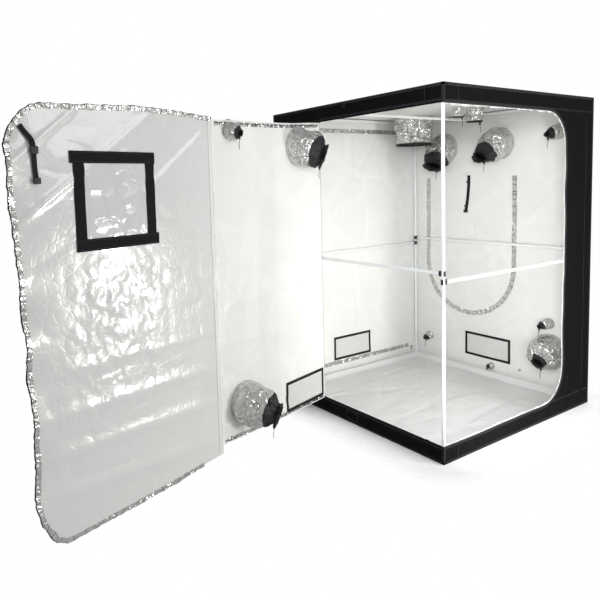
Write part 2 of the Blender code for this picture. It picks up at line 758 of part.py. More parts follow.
def vent_hole(centre):
    """The hole that a vent's net covers, about its centre."""
    half = (VENT_WIDTH / 2, VENT_TALL / 2)
    return rounded(
        (centre[0] - half[0], centre[1] - half[1]),
        (centre[0] + half[0], centre[1] + half[1]),
        (VENT_CORNER,) * 4,
    )


def make_vent(name, centre, parent, base, inner, outer):
    """A bordered net on a panel's inner side and a flap hung over the vent outside."""
    reach = (VENT_WIDTH / 2 + VENT_BORDER, VENT_TALL / 2 + VENT_BORDER)
    mesh = bordered_plate(
        f"{name}_net",
        (-reach[0], -reach[1]),
        reach,
        VENT_NET,
        BORDER_THICK,
        VENT_BORDER,
        VENT_CORNER,
    )
    place = base @ Matrix.Translation((centre[0], centre[1], inner - SEAM_GAP))
    add_object(f"{name}_net", mesh, "net", parent, place)
    top = centre[1] + VENT_TALL / 2 + VENT_FLAP_LAP
    hinge = base @ Matrix.Translation((centre[0], top, outer + FLAP_RISE))
    axis = add_empty(f"{name}_axis", parent, hinge)
    tall = VENT_TALL + 2 * VENT_FLAP_LAP
    mesh = flap_mesh(f"{name}_cover", VENT_WIDTH / 2 + VENT_FLAP_LAP, tall, VENT_CORNER)
    add_object(f"{name}_cover", mesh, "black_cloth", axis)


def hatch_outline(inset):
    """The U of the hatch, drawn in by inset, from its top left corner round to the right."""
    radius = HATCH_RADIUS - inset
    bend = HATCH_BOTTOM + HATCH_RADIUS
    top = HATCH_TOP - inset
    outline = [(HATCH_CENTRE_Y + radius, top), (HATCH_CENTRE_Y - radius, top)]
    outline += arc((HATCH_CENTRE_Y, bend), radius, 180, 360, HATCH_STEPS)
    return outline


def make_right_wall():
    """The right wall with its hatch, vent and sleeves."""
    span = side_span()
    outline = rounded((-span, WALL_FOOT), (span, WALL_HEAD), (HINGE_CORNER,) * 4)
    vent = (RIGHT_VENT_Y, VENT_HEIGHT)
    holes = (hatch_outline(LAP_WIDTH), vent_hole(vent))
    pieces = [cloth_panel("right_panel", outline, holes)]
    for sleeve in RIGHT_SMALL:
        pieces.append(panel_sleeve(sleeve, TENT_DEPTH, TENT_HEIGHT, DOWN, CLOTH / 2, CLOTH))
    place = face_place("right")
    add_object("right_wall", joined("right_wall", pieces), "black_cloth", place=place)
    for sleeve in RIGHT_SLEEVES:
        mesh = panel_sleeve(sleeve, TENT_DEPTH, TENT_HEIGHT, DOWN, 0.0, CLOTH + SEAM_GAP)
        add_object(sleeve.name, mesh, "foil_cloth", place=place)
    make_vent("right_vent", vent, None, place, -CLOTH, 0.0)
    axis = add_empty(
        "hatch_axis", place=place @ Matrix.Translation((0.0, HATCH_TOP, FLAP_RISE))
    )
    bm = bmesh.new()
    shape = [(x, min(y, HATCH_TOP - CLOTH / 2) - HATCH_TOP) for x, y in hatch_outline(0.0)]
    prism(bm, shape, -CLOTH / 2, CLOTH / 2)
    add_object("hatch_flap", mesh_from(bm, "hatch_flap"), "black_cloth", axis)


def make_back_wall():
    """The back wall, the door hung outside it, the door's vent and its zip slider."""
    place = face_place("back")
    outline = rounded((-HALF_WIDTH, WALL_FOOT), (HALF_WIDTH, WALL_HEAD), (HINGE_CORNER,) * 4)
    radius = DOORWAY_CORNER
    hole = rounded(
        (LAP_WIDTH - REAR_HINGE_X, OPENING_FOOT),
        (-REAR_FREE_X, OPENING_HEAD),
        (HINGE_CORNER, radius, radius, HINGE_CORNER),
    )
    mesh = cloth_panel("back_wall", outline, (hole,))
    add_object("back_wall", mesh, "black_cloth", place=place)
    axis = add_empty(
        "rear_door_axis", place=place @ Matrix.Translation((-REAR_HINGE_X, 0.0, FLAP_RISE))
    )
    reach = REAR_HINGE_X - REAR_FREE_X + LAP_WIDTH
    vent = (REAR_HINGE_X - REAR_VENT_X, VENT_HEIGHT)
    bm = bmesh.new()
    outline = rounded(
        (CLOTH / 2, LEAF_FOOT), (reach, LEAF_HEAD), (HINGE_CORNER, radius, radius, HINGE_CORNER)
    )
    prism(bm, outline, -CLOTH / 2, CLOTH / 2, (vent_hole(vent),))
    add_object("rear_door", mesh_from(bm, "rear_door"), "black_cloth", axis)
    make_vent("rear_vent", vent, axis, Matrix.Identity(4), -CLOTH / 2, CLOTH / 2)
    make_slider(place)


def make_slider(wall):
    """The rear zip's slider with its pull, on the sill inside, at the hinge end of the zip."""
    bm = bmesh.new()
    block(
        bm,
        (-SLIDER_LENGTH / 2, -SLIDER_WIDTH / 2, -SLIDER_THICK),
        (SLIDER_LENGTH / 2, SLIDER_WIDTH / 2, 0.0),
    )
    bmesh.ops.bevel(
        bm, geom=bm.edges[:], offset=SLIDER_BEVEL, segments=2, profile=0.5, affect="EDGES"
    )
    body = mesh_from(bm, "slider_body")
    bm = bmesh.new()
    half = PULL_WIDTH / 2
    top = -SLIDER_WIDTH / 2 + PULL_BITE
    outer = rounded((-half, top - PULL_LENGTH), (half, top), (half, half, half / 2, half / 2))
    hole = arc((0.0, top - PULL_LENGTH + half), half / 2, 0, 315, 7)
    prism(bm, outer, -SLIDER_THICK / 2 - PULL_THICK / 2, -SLIDER_THICK / 2 + PULL_THICK / 2, (hole,))
    mesh = joined("zip_slider", [body, mesh_from(bm, "pull")])
    spot = (-SLIDER_START_X, OPENING_FOOT - SLIDER_DROP, -CLOTH - SEAM_GAP)
    add_object("rear_zip_slider", mesh, "zinc", place=wall @ Matrix.Translation(spot))


def fold_sheet(bm, fold_shares, foot, tall):
    """Swell a flat sheet outwards along its soft folds, which fade towards the seam it hangs on."""
    heights = []
    for up, reach, _ in fold_shares:
        for step in range(-FOLD_STEPS, FOLD_STEPS + 1):
            heights.append(foot + tall * (up + reach * step / FOLD_STEPS))
    fades = [FOLD_FADE * step / FOLD_STEPS for step in range(1, FOLD_STEPS + 1)]
    cuts = [((0.0, height, 0.0), (0.0, 1.0, 0.0)) for height in heights]
    cuts += [((across, 0.0, 0.0), (1.0, 0.0, 0.0)) for across in fades]
    for spot, square in cuts:
        geom = bm.verts[:] + bm.edges[:] + bm.faces[:]
        bmesh.ops.bisect_plane(bm, geom=geom, plane_co=spot, plane_no=square)
    bmesh.ops.triangulate(bm, faces=bm.faces)
    for vert in bm.verts:
        fade = min(max(vert.co.x, 0.0) / FOLD_FADE, 1.0)
        for up, reach, depth in fold_shares:
            away = abs(vert.co.y - foot - tall * up) / (tall * reach)
            if away < 1.0:
                swell = (1.0 + math.cos(math.pi * away)) / 2
                vert.co.z += FOLD_RISE * depth * swell * fade


def make_wrap():
    """The side panel and the door leaf, swung open together about the seam in the left face."""
    closed = face_place("left", FLAP_RISE) @ Matrix.Translation((-SIDE_HINGE_Y, 0.0, 0.0))
    spot = closed.to_translation()
    turn = Matrix.Rotation(math.radians(-WRAP_OPEN_DEG), 4, "Z")
    hinge = Matrix.Translation(spot) @ turn @ Matrix.Translation(-spot) @ closed
    side_axis = add_empty("side_axis", place=hinge)
    vent = (SIDE_VENT_CENTRE, VENT_HEIGHT)
    outline = rounded(
        (-SEAM_GAP, LEAF_FOOT),
        (FOLD_U - FOLD_GAP, LEAF_HEAD),
        (HINGE_CORNER, 0.0, 0.0, HINGE_CORNER),
    )
    bm = bmesh.new()
    prism(bm, outline, -CLOTH / 2, CLOTH / 2, (vent_hole(vent),))
    fold_sheet(bm, SIDE_FOLD_SHARES, LEAF_FOOT, LEAF_HEAD - LEAF_FOOT)
    pieces = [mesh_from(bm, "side_sheet")]
    for sleeve in SIDE_SMALL:
        pieces.append(panel_sleeve(sleeve, FOLD_U, TENT_HEIGHT, DOWN, CLOTH / 2, CLOTH / 2))
    add_object("side_panel", joined("side_panel", pieces), "white_cloth", side_axis)
    for sleeve in SIDE_SLEEVES:
        mesh = panel_sleeve(sleeve, FOLD_U, TENT_HEIGHT, DOWN, 0.0, CLOTH / 2 + SEAM_GAP)
        add_object(sleeve.name, mesh, "foil_cloth", side_axis)
    make_vent("side_vent", vent, side_axis, Matrix.Identity(4), -CLOTH / 2, CLOTH / 2)
    fold = add_empty("fold_axis", side_axis, Matrix.Translation((FOLD_U, 0.0, -CLOTH / 2)))
    make_door_leaf(fold)


def make_door_leaf(fold):
    """The door leaf beyond the fold, with its window and the flap that covers the window."""
    radius = DOORWAY_CORNER + LAP_WIDTH
    low = (WINDOW_CENTRE - WINDOW_WIDTH / 2, WINDOW_HEIGHT - WINDOW_TALL / 2)
    high = (WINDOW_CENTRE + WINDOW_WIDTH / 2, WINDOW_HEIGHT + WINDOW_TALL / 2)
    outline = [(FOLD_GAP, DOOR_FOOT)]
    outline += arc((DOOR_WIDTH - radius, DOOR_FOOT + radius), radius, 270, 360, ARC_STEPS)
    outline += arc((DOOR_WIDTH - radius, LEAF_HEAD - radius), radius, 0, 90, ARC_STEPS)
    outline.append((FOLD_GAP, LEAF_HEAD))
    bm = bmesh.new()
    prism(bm, outline, 0.0, CLOTH, (rounded(low, high, (WINDOW_CORNER,) * 4),))
    fold_sheet(bm, DOOR_FOLD_SHARES, DOOR_FOOT, LEAF_HEAD - DOOR_FOOT)
    add_object("door_leaf", mesh_from(bm, "door_leaf"), "white_cloth", fold)
    reach = (WINDOW_WIDTH / 2 + WINDOW_BORDER, WINDOW_TALL / 2 + WINDOW_BORDER)
    mesh = bordered_plate(
        "window",
        (-reach[0], -reach[1]),
        reach,
        WINDOW_FILM,
        BORDER_THICK,
        WINDOW_BORDER,
        WINDOW_CORNER,
    )
    place = Matrix.Translation((WINDOW_CENTRE, WINDOW_HEIGHT, -SEAM_GAP))
    add_object("door_window", mesh, "film", fold, place)
    top = WINDOW_HEIGHT - reach[1]
    hinge = Matrix.Translation((WINDOW_CENTRE, top, CLOTH + FLAP_RISE))
    axis = add_empty("window_cover_axis", fold, hinge)
    mesh = flap_mesh("window_cover", reach[0], 2 * reach[1], WINDOW_CORNER)
    add_object("window_cover", mesh, "black_cloth", axis)


def main():
    """Build the whole tent."""
    clear_scene()
    make_frame()
    make_mid_bars()
    make_ceiling_bar()
    make_floor()
    make_roof()
    make_front_surround()
    make_left_surround()
    make_right_wall()
    make_back_wall()
    make_wrap()


main()
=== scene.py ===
"""Studio scene of an indoor grow tent whose front left corner stands wide open.

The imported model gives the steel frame, the clips and every place; the cloth is made here.  Each
panel is a sheet of laminate, black Oxford cloth outside and white film inside, draped over its
own working face with the sag, packing creases and pulls of the real one.  Trim, zips, straps and
gathered sleeves are laid on the same faces, so that they follow the cloth.

Metres, +Z up, front -Y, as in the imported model.
"""

from __future__ import annotations

import functools
import itertools
import json
import logging
import math
from collections.abc import Callable, Sequence
from dataclasses import dataclass, field
from enum import Enum

import bpy
import numpy as np
from mathutils import Matrix, Vector
from mathutils.geometry import delaunay_2d_cdt


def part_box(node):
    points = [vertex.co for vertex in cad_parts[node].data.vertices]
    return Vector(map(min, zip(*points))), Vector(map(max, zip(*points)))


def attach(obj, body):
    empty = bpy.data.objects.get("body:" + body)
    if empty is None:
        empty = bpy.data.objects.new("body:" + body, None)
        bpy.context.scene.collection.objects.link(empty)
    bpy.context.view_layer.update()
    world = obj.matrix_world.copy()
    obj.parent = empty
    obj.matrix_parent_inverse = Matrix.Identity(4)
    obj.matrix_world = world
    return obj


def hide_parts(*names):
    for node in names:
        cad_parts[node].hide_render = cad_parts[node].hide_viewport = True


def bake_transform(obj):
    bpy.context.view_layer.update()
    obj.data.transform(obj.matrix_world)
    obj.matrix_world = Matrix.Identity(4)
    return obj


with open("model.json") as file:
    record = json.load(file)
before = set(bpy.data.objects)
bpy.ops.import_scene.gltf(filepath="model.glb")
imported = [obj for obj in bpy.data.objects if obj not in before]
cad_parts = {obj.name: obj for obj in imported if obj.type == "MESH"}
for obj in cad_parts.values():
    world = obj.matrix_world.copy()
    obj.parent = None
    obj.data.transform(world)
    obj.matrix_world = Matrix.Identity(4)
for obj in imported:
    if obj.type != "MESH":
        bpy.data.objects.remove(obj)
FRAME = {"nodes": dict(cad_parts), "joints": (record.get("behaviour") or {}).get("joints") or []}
LOG = logging.getLogger("grow_tent")
SHARP = math.radians(40.0)
PLY = 0.0012
STEEL, BLACK, WHITE, MOULDED = "white_steel", "black_cloth", "white_cloth", "black_plastic"
SILVER, TRAY, FILM, NET = "foil_cloth", "white_vinyl", "clear_film", "net"

Array = np.ndarray
Tree, Node, Socket = bpy.types.NodeTree, bpy.types.Node, bpy.types.NodeSocket
Object, Material = bpy.types.Object, bpy.types.Material
Spot = tuple[float, float]
Path = Sequence[Spot]


def linear(colour: str) -> tuple[float, float, float, float]:
    """Turn an sRGB colour, as "#RRGGBB", into linear red, green, blue and an alpha of one."""
    parts = [int(colour[i : i + 2], 16) / 255 for i in (1, 3, 5)]
    curve = [c / 12.92 if c <= 0.04045 else ((c + 0.055) / 1.055) ** 2.4 for c in parts]
    return (*curve, 1.0)


def add_node(tree: Tree, kind: str, inputs: dict | None = None, **settings: object) -> Node:
    """Add a node with its settings and links.

    Args:
        tree: The node tree to add to.
        kind: The node's type name.
        inputs: Values or sockets, by the input's name or number.
        settings: Attributes of the node itself.

    Returns:
        The new node.
    """
    made = tree.nodes.new(kind)
    for key, value in settings.items():
        setattr(made, key, value)
    for key, value in (inputs or {}).items():
        if isinstance(value, Socket):
            tree.links.new(value, made.inputs[key])
        else:
            made.inputs[key].default_value = value
    return made


def shader(tree: Tree, kind: str, inputs: dict, **settings: object) -> Socket:
    """Add a shader node, and give its first output."""
    return add_node(tree, f"ShaderNode{kind}", inputs, **settings).outputs[0]


def reckon(tree: Tree, operation: str, *values: Socket | float, clamp: bool = False) -> Socket:
    """The result of a sum on values and sockets."""
    return shader(tree, "Math", dict(enumerate(values)), operation=operation, use_clamp=clamp)


def mixed(tree: Tree, share: object, under: object, over: object, blend: str = "MIX") -> Socket:
    """Two colours mixed by a share."""
    inputs = {0: share, 6: under, 7: over}
    return add_node(tree, "ShaderNodeMix", inputs, data_type="RGBA", blend_type=blend).outputs[2]


class Texture(Enum):
    """What a layer of a finish looks like close up."""

    WEAVE = "two sets of crossing threads"
    RIBS = "ribs across the width of a tape"
    CLOUD = "soft unevenness"
    CRINKLE = "sharp creases of a stiff film"
    FACETS = "flat dents between creases, as in crushed foil"
    CREASES = "straight creases, left by folding"


WEAVE, RIBS, CLOUD, CRINKLE, FACETS, CREASES = Texture


@dataclass(frozen=True)
class Layer:
    """One pattern of a finish.

    size is the pattern's real spacing in metres.  tint colours it by share, rough adds to the
    roughness, and height is how far it stands up, in metres.
    """

    texture: Texture
    size: float
    tint: str = "#000000"
    share: float = 0.0
    rough: float = 0.0
    height: float = 0.0
    stretch: tuple[float, float, float] = (1.0, 1.0, 1.0)
    bend: float = 0.7

    def value(self, tree: Tree, place: Socket) -> Socket:
        """The layer's pattern, from 0 to 1, where place is the spot on the cloth in metres."""
        scaled = shader(tree, "Mapping", {"Vector": place, "Scale": self.stretch})
        if self.texture in (WEAVE, RIBS):
            return self._threads(tree, scaled)
        fine = {"Vector": scaled, "Scale": 1 / self.size}
        if self.texture is CLOUD:
            return shader(tree, "TexNoise", {**fine, "Detail": 4.0, "Roughness": 0.6})
        coarse = {"Vector": scaled, "Scale": 0.6 / self.size, "Detail": 2.0}
        wander = add_node(tree, "ShaderNodeTexNoise", coarse).outputs["Color"]
        fine["Vector"] = mixed(tree, self.bend * self.size, scaled, wander, "ADD")
        if self.texture is CREASES:
            edge = shader(tree, "TexVoronoi", fine, feature="DISTANCE_TO_EDGE")
            slope = {"Value": edge, 1: 0.0, 2: 0.16, 3: 0.0, 4: 1.0}
            return shader(tree, "MapRange", slope, interpolation_type="SMOOTHSTEP")
        if self.texture is FACETS:
            return shader(tree, "TexVoronoi", fine, feature="F1")
        ridges = {**fine, "Detail": 3.0, "Lacunarity": 2.2}
        return shader(
            tree, "TexNoise", ridges, noise_type="RIDGED_MULTIFRACTAL", normalize=True
        )

    def _threads(self, tree: Tree, place: Socket) -> Socket:
        """Threads at the layer's spacing, one way for ribs and both ways for a weave."""
        wave = {"Vector": place, "Scale": math.pi / 10 / self.size, "Distortion": 0.0}
        bands = [
            add_node(
                tree, "ShaderNodeTexWave", wave, wave_type="BANDS", bands_direction=way
            ).outputs["Fac"]
            for way in ("X", "Y")
        ]
        return bands[0] if self.texture is RIBS else reckon(tree, "MULTIPLY", *bands)


@dataclass(frozen=True)
class Finish:
    """A material as its maker would name it, with the layers that the eye sees in it."""

    name: str
    colour: str
    roughness: float
    slot: str = BLACK
    layers: tuple[Layer, ...] = ()
    metallic: float = 0.0
    coat: float = 0.0
    coat_roughness: float = 0.12
    sheen: float = 0.0
    specular: float = 0.5
    alpha: float = 1.0

    @functools.cache
    def build(self) -> Material:
        """Build the node material once, and hand out the same one after that."""
        made = bpy.data.materials.new(self.name)
        made.use_nodes = True
        tree = made.node_tree
        sockets = tree.nodes["Principled BSDF"].inputs
        fixed = {
            "Base Color": linear(self.colour),
            "Roughness": self.roughness,
            "Metallic": self.metallic,
            "Coat Weight": self.coat,
            "Coat Roughness": self.coat_roughness,
            "Sheen Weight": self.sheen,
            "Sheen Roughness": 0.4,
            "Specular IOR Level": self.specular,
            "Alpha": self.alpha,
        }
        for key, value in fixed.items():
            sockets[key].default_value = value
        place = add_node(tree, "ShaderNodeTexCoord").outputs["UV"]
        colour: object = linear(self.colour)
        rough: object = self.roughness
        height: object = 0.0
        for layer in self.layers:
            value = layer.value(tree, place)
            if layer.share:
                share = reckon(tree, "MULTIPLY", value, layer.share)
                colour = mixed(tree, share, colour, linear(layer.tint))
            if layer.rough:
                rough = reckon(tree, "MULTIPLY_ADD", value, layer.rough, rough, clamp=True)
            if layer.height:
                height = reckon(tree, "MULTIPLY_ADD", value, layer.height, height)
        if isinstance(height, Socket):
            bump = {"Height": height, "Distance": 1.0, "Strength": 1.0}
            tree.links.new(shader(tree, "Bump", bump), sockets["Normal"])
        for key, socket in (("Base Color", colour), ("Roughness", rough)):
            if isinstance(socket, Socket):
                tree.links.new(socket, sockets[key])
        return made


# Polyethylene film laminated to the cloth: white, glossy, creased where it was folded
WHITE_FILM = Finish(
    "white_polyethylene_film", "#E6E6E3", 0.32, WHITE, coat=0.3,
    layers=(
        Layer(CLOUD, 0.35, "#D9DAD8", 0.35, 0.12),
        # Painted light and shade of the packing folds: the film between the crease lines is tinted
        # darker, so that the lines show light
        Layer(CREASES, 0.34, "#DADBD8", 0.3, height=0.0034, bend=0.3),
        Layer(CREASES, 0.12, height=0.001, bend=0.4),
        Layer(CRINKLE, 0.2, rough=0.08, height=0.003),
        # Real threads lie 0.7 mm apart under the film; drawn at 3 mm to show
        Layer(WEAVE, 0.003, height=0.00002),
    ),
)  # fmt: skip
# The same film on the swung out leaf, slack and crumpled, so that it glints; its colour is painted
# darker than the walls' film, as painted shade for the dimmer light on the leaf
SHADED_CREASED_FILM = Finish(
    "shaded_creased_polyethylene_film", "#D7D8D7", 0.2, WHITE, coat=0.7, coat_roughness=0.022,
    layers=(
        Layer(CLOUD, 0.4, "#D2D2CF", 0.3, 0.08),
        Layer(CREASES, 0.26, height=0.0009, bend=0.5),
        Layer(CREASES, 0.05, height=0.0003),
        Layer(CRINKLE, 0.14, rough=0.04, height=0.0011),
        Layer(FACETS, 0.03, height=0.00025),
    ),
)  # fmt: skip
# Black Oxford polyester, a coarse plain weave with a dull face
OXFORD = Finish(
    "black_oxford_polyester", "#050506", 0.62, specular=0.06,
    layers=(
        # Real threads lie 0.6 mm apart; drawn at 2.4 mm to show
        Layer(WEAVE, 0.0024, "#131315", 0.5, height=0.00012),
        Layer(CLOUD, 0.18, "#131312", 0.5, 0.12),
        Layer(CREASES, 0.4, height=0.003, bend=1.0, stretch=(1.0, 0.5, 1.0)),
        Layer(CRINKLE, 0.24, height=0.009),
    ),
)  # fmt: skip
# Aluminised polyester film, crushed into sharp dents, drawn coarser to show; its grey patches and
# darker facets are painted reflection of dim surroundings
FOIL = Finish(
    "aluminised_polyester_film", "#F6F6F5", 0.13, SILVER, metallic=0.88,
    layers=(
        # Painted reflection: the grey patches here and the darker facets below stand for dim
        # surroundings mirrored in the dents
        Layer(CLOUD, 0.05, "#8C8A84", 0.6, 0.1),
        Layer(CREASES, 0.05, height=0.0045, stretch=(1.0, 0.5, 1.0)),
        Layer(FACETS, 0.026, "#A9A8A5", 0.7, height=0.0034, stretch=(1.0, 0.6, 1.0)),
        Layer(CREASES, 0.02, height=0.0008),
    ),
)  # fmt: skip
# Black polypropylene webbing, ribbed across its width
HEM = Finish(
    "black_polypropylene_webbing", "#0D0D0F", 0.62, sheen=0.02, specular=0.12,
    layers=(
        Layer(RIBS, 0.0022, "#35353A", 0.6, height=0.00025),
        Layer(CLOUD, 0.03, "#242428", 0.5),
    ),
)  # fmt: skip
# Thin black polyester that gathers into the sleeves' mouths
SOFT_BLACK = Finish(
    "black_polyester_lining", "#0E0E10", 0.5, sheen=0.05, specular=0.35,
    layers=(
        Layer(CLOUD, 0.02, "#2B2B30", 0.5, 0.15),
        Layer(CRINKLE, 0.018, height=0.0016),
    ),
)  # fmt: skip
# Black hook-and-loop tape, matt and fuzzy; its hooks stand 1.2 mm apart, drawn at 2.6 mm to show
HOOK_TAPE = Finish(
    "black_hook_and_loop_tape", "#121214", 0.9, sheen=0.06, specular=0.12,
    layers=(
        Layer(WEAVE, 0.0026, "#303034", 0.6, height=0.0004),
        Layer(CLOUD, 0.012, "#26262A", 0.6),
    ),
)  # fmt: skip
# White powder coat on steel tube, faintly pebbled like orange peel
POWDER_COAT = Finish(
    "white_powder_coat", "#F0F2F3", 0.36, STEEL, coat=0.15,
    layers=(
        Layer(CLOUD, 0.0028, rough=0.1, height=0.00006),
        Layer(CLOUD, 0.12, "#D5D8DA", 0.5),
    ),
)  # fmt: skip
# Moulded black ABS with a fine spark-eroded grain
ABS = Finish(
    "black_moulded_abs", "#121214", 0.42, MOULDED,
    layers=(
        Layer(CLOUD, 0.0014, rough=0.15, height=0.00005),
        Layer(CLOUD, 0.02, "#222226", 0.4),
    ),
)  # fmt: skip
# Moulded white ABS with a satin face
WHITE_ABS = Finish(
    "white_moulded_abs", "#E2E3E2", 0.35, TRAY,
    layers=(
        Layer(CLOUD, 0.0014, rough=0.15, height=0.00005),
        Layer(CLOUD, 0.02, "#CFD0CF", 0.4),
    ),
)  # fmt: skip
# Clear polyvinyl chloride film, rippled where it is sewn in, drawn part opaque and pale grey as
# painted reflection on the film
CLEAR_FILM = Finish(
    "clear_pvc_film", "#D6D8D8", 0.08, FILM, coat=0.7, coat_roughness=0.03, alpha=0.62,
    layers=(
        Layer(CREASES, 0.12, height=0.003),
        Layer(CRINKLE, 0.05, height=0.0016),
        Layer(CLOUD, 0.1, "#BFC2C4", 0.5, 0.06),
    ),
)  # fmt: skip
# White polyester monofilament
NETTING = Finish(
    "white_polyester_net", "#DEE0DE", 0.5, NET, (Layer(CLOUD, 0.02, "#C4C6C4", 0.4),)
)
# White vinyl coated polyester of the spill tray, wavy and satin
VINYL = Finish(
    "white_vinyl_coated_polyester", "#DADBDA", 0.34, TRAY, coat=0.2,
    layers=(
        Layer(CLOUD, 0.25, "#C7C9C9", 0.5, 0.12),
        Layer(CREASES, 0.3, height=0.004, bend=0.3, stretch=(0.35, 1.0, 1.0)),
        Layer(CREASES, 0.14, height=0.0016, bend=0.5),
        Layer(CRINKLE, 0.18, height=0.006, stretch=(0.5, 1.0, 1.0)),
        Layer(WEAVE, 0.003, height=0.00003),
    ),
)  # fmt: skip
# Die-cast zinc alloy slider, nickel plated and lightly scuffed
ZINC = Finish(
    "nickel_plated_zinc", "#B6B8BB", 0.3, "zinc", metallic=1.0,
    layers=(
        Layer(CLOUD, 0.004, "#85888C", 0.6, 0.2),
        Layer(CRINKLE, 0.006, height=0.00006),
    ),
)  # fmt: skip
# Black braided polyester cord
CORD = Finish(
    "black_braided_polyester", "#121214", 0.7, sheen=0.05, specular=0.25,
    layers=(
        Layer(WEAVE, 0.0016, "#303035", 0.6, height=0.0003),
        Layer(CLOUD, 0.01, "#222226", 0.4),
    ),
)  # fmt: skip
# Black nylon zip coil
COIL = Finish(
    "black_nylon_coil", "#27272B", 0.38, MOULDED, (Layer(CLOUD, 0.004, "#4A4A52", 0.5, 0.2),)
)
# Grey bonded polyester sewing thread
GREY_THREAD = Finish(
    "grey_bonded_thread", "#5E5F62", 0.55, BLACK, (Layer(CLOUD, 0.003, "#444548", 0.5),)
)
# Matt white seamless paper
STUDIO_FLOOR = Finish(
    "white_paper", "#F4F4F4", 0.9, layers=(Layer(CLOUD, 0.8, "#EFEFEF", 0.5),), specular=0.1
)


class LatticeNoise:
    """Smooth noise on a fixed random lattice, the same in every run."""

    def __init__(self, seed: int) -> None:
        """Fill the lattice from a seed."""
        self.side = 32
        self.lattice = np.random.default_rng(seed).random((self.side,) * 3)

    def at(self, points: Array, size: float) -> Array:
        """Noise from -1 to 1 at N by 3 points, with swells of a size in metres."""
        scaled = points / size
        base = np.floor(scaled).astype(int)
        part = scaled - base
        part = part * part * (3 - 2 * part)
        total = np.zeros(len(points))
        for corner in itertools.product((0, 1), repeat=3):
            index = (base + corner) % self.side
            weight = np.prod(np.where(corner, part, 1 - part), axis=1)
            total += weight * self.lattice[index[:, 0], index[:, 1], index[:, 2]]
        return 2 * total - 1

    def flat(self, across: Array, up: Array, size: float) -> Array:
        """Noise over a flat sheet, by its own two coordinates."""
        return self.at(np.stack([across, up, np.full_like(across, 0.37 * size)], axis=1), size)


@dataclass(frozen=True)
class Crease:
    """A soft fold along a line from start to end, both as shares of the sheet's box."""

    start_share: Spot
    end_share: Spot
    rise: float
    width: float


def creases_at(creases: Sequence[Crease], across: Array, up: Array, low: Spot, high: Spot) -> Array:
    """The height that a sheet's creases give each of its points.

    Args:
        creases: The creases, in shares of the box from low to high.
        across: Distances along the sheet.
        up: Distances up the sheet.
        low: The box's low corner.
        high: The box's high corner.

    Returns:
        A height for each point.
    """
    total = np.zeros_like(across)
    size = np.subtract(high, low)
    for crease in creases:
        start = np.add(low, np.multiply(crease.start_share, size))
        run = np.add(low, np.multiply(crease.end_share, size)) - start
        length = float(np.hypot(*run))
        along = ((across - start[0]) * run[0] + (up - start[1]) * run[1]) / length
        beside = ((across - start[0]) * run[1] - (up - start[1]) * run[0]) / length
        fade = np.clip(np.minimum(along, length - along) / (0.25 * length) + 0.4, 0, 1)
        total += crease.rise * np.exp(-((beside / crease.width) ** 2)) * fade
    return total


def near(distance: Array, reach: float, least: float = 0.0) -> Array:
    """How free cloth is, from least where it is held to 1 at a reach away."""
    return np.clip(distance / reach, least, 1)


@dataclass
class Panelling:
    """The drape of a stretched wall: belly between its poles, creases and slight unevenness."""

    low: Spot
    high: Spot
    seed: int
    belly: float = 0.005
    rough: float = 0.0032
    bars: tuple[float, ...] = ()
    seams: tuple[float, ...] = ()
    posts: tuple[float, ...] = ()
    creases: tuple[Crease, ...] = ()
    edge: float = 0.12
    bar_reach: float = 0.1
    seam_reach: float = 0.07
    most_in: float = -0.02
    most_out: float = 0.009

    def __post_init__(self) -> None:
        """Make the wall's own noise."""
        self.noise = LatticeNoise(self.seed)

    def __call__(self, across: Array, up: Array) -> Array:
        """How far each point of the wall is moved out."""
        wide, tall = np.subtract(self.high, self.low)
        share_u = (across - self.low[0]) / wide
        share_v = (up - self.low[1]) / tall
        hold = near(np.minimum(share_u, 1 - share_u) * wide, self.edge)
        hold *= near(np.minimum(share_v, 1 - share_v) * tall, self.edge)
        for bar in self.bars:
            hold *= near(np.abs(up - bar), self.bar_reach, 0.12)
        for seam in self.seams:
            hold *= near(np.abs(up - seam), self.seam_reach, 0.01)
        for post in self.posts:
            hold *= near(np.abs(across - post), self.seam_reach, 0.01)
        hold = hold * hold * (3 - 2 * hold)
        off = self.noise.flat(across, up, 0.42) * self.belly
        off += self.noise.flat(across + 7.0, up, 0.13) * self.rough
        off += creases_at(self.creases, across, up, self.low, self.high)
        return np.clip(off * hold, self.most_in, self.most_out)


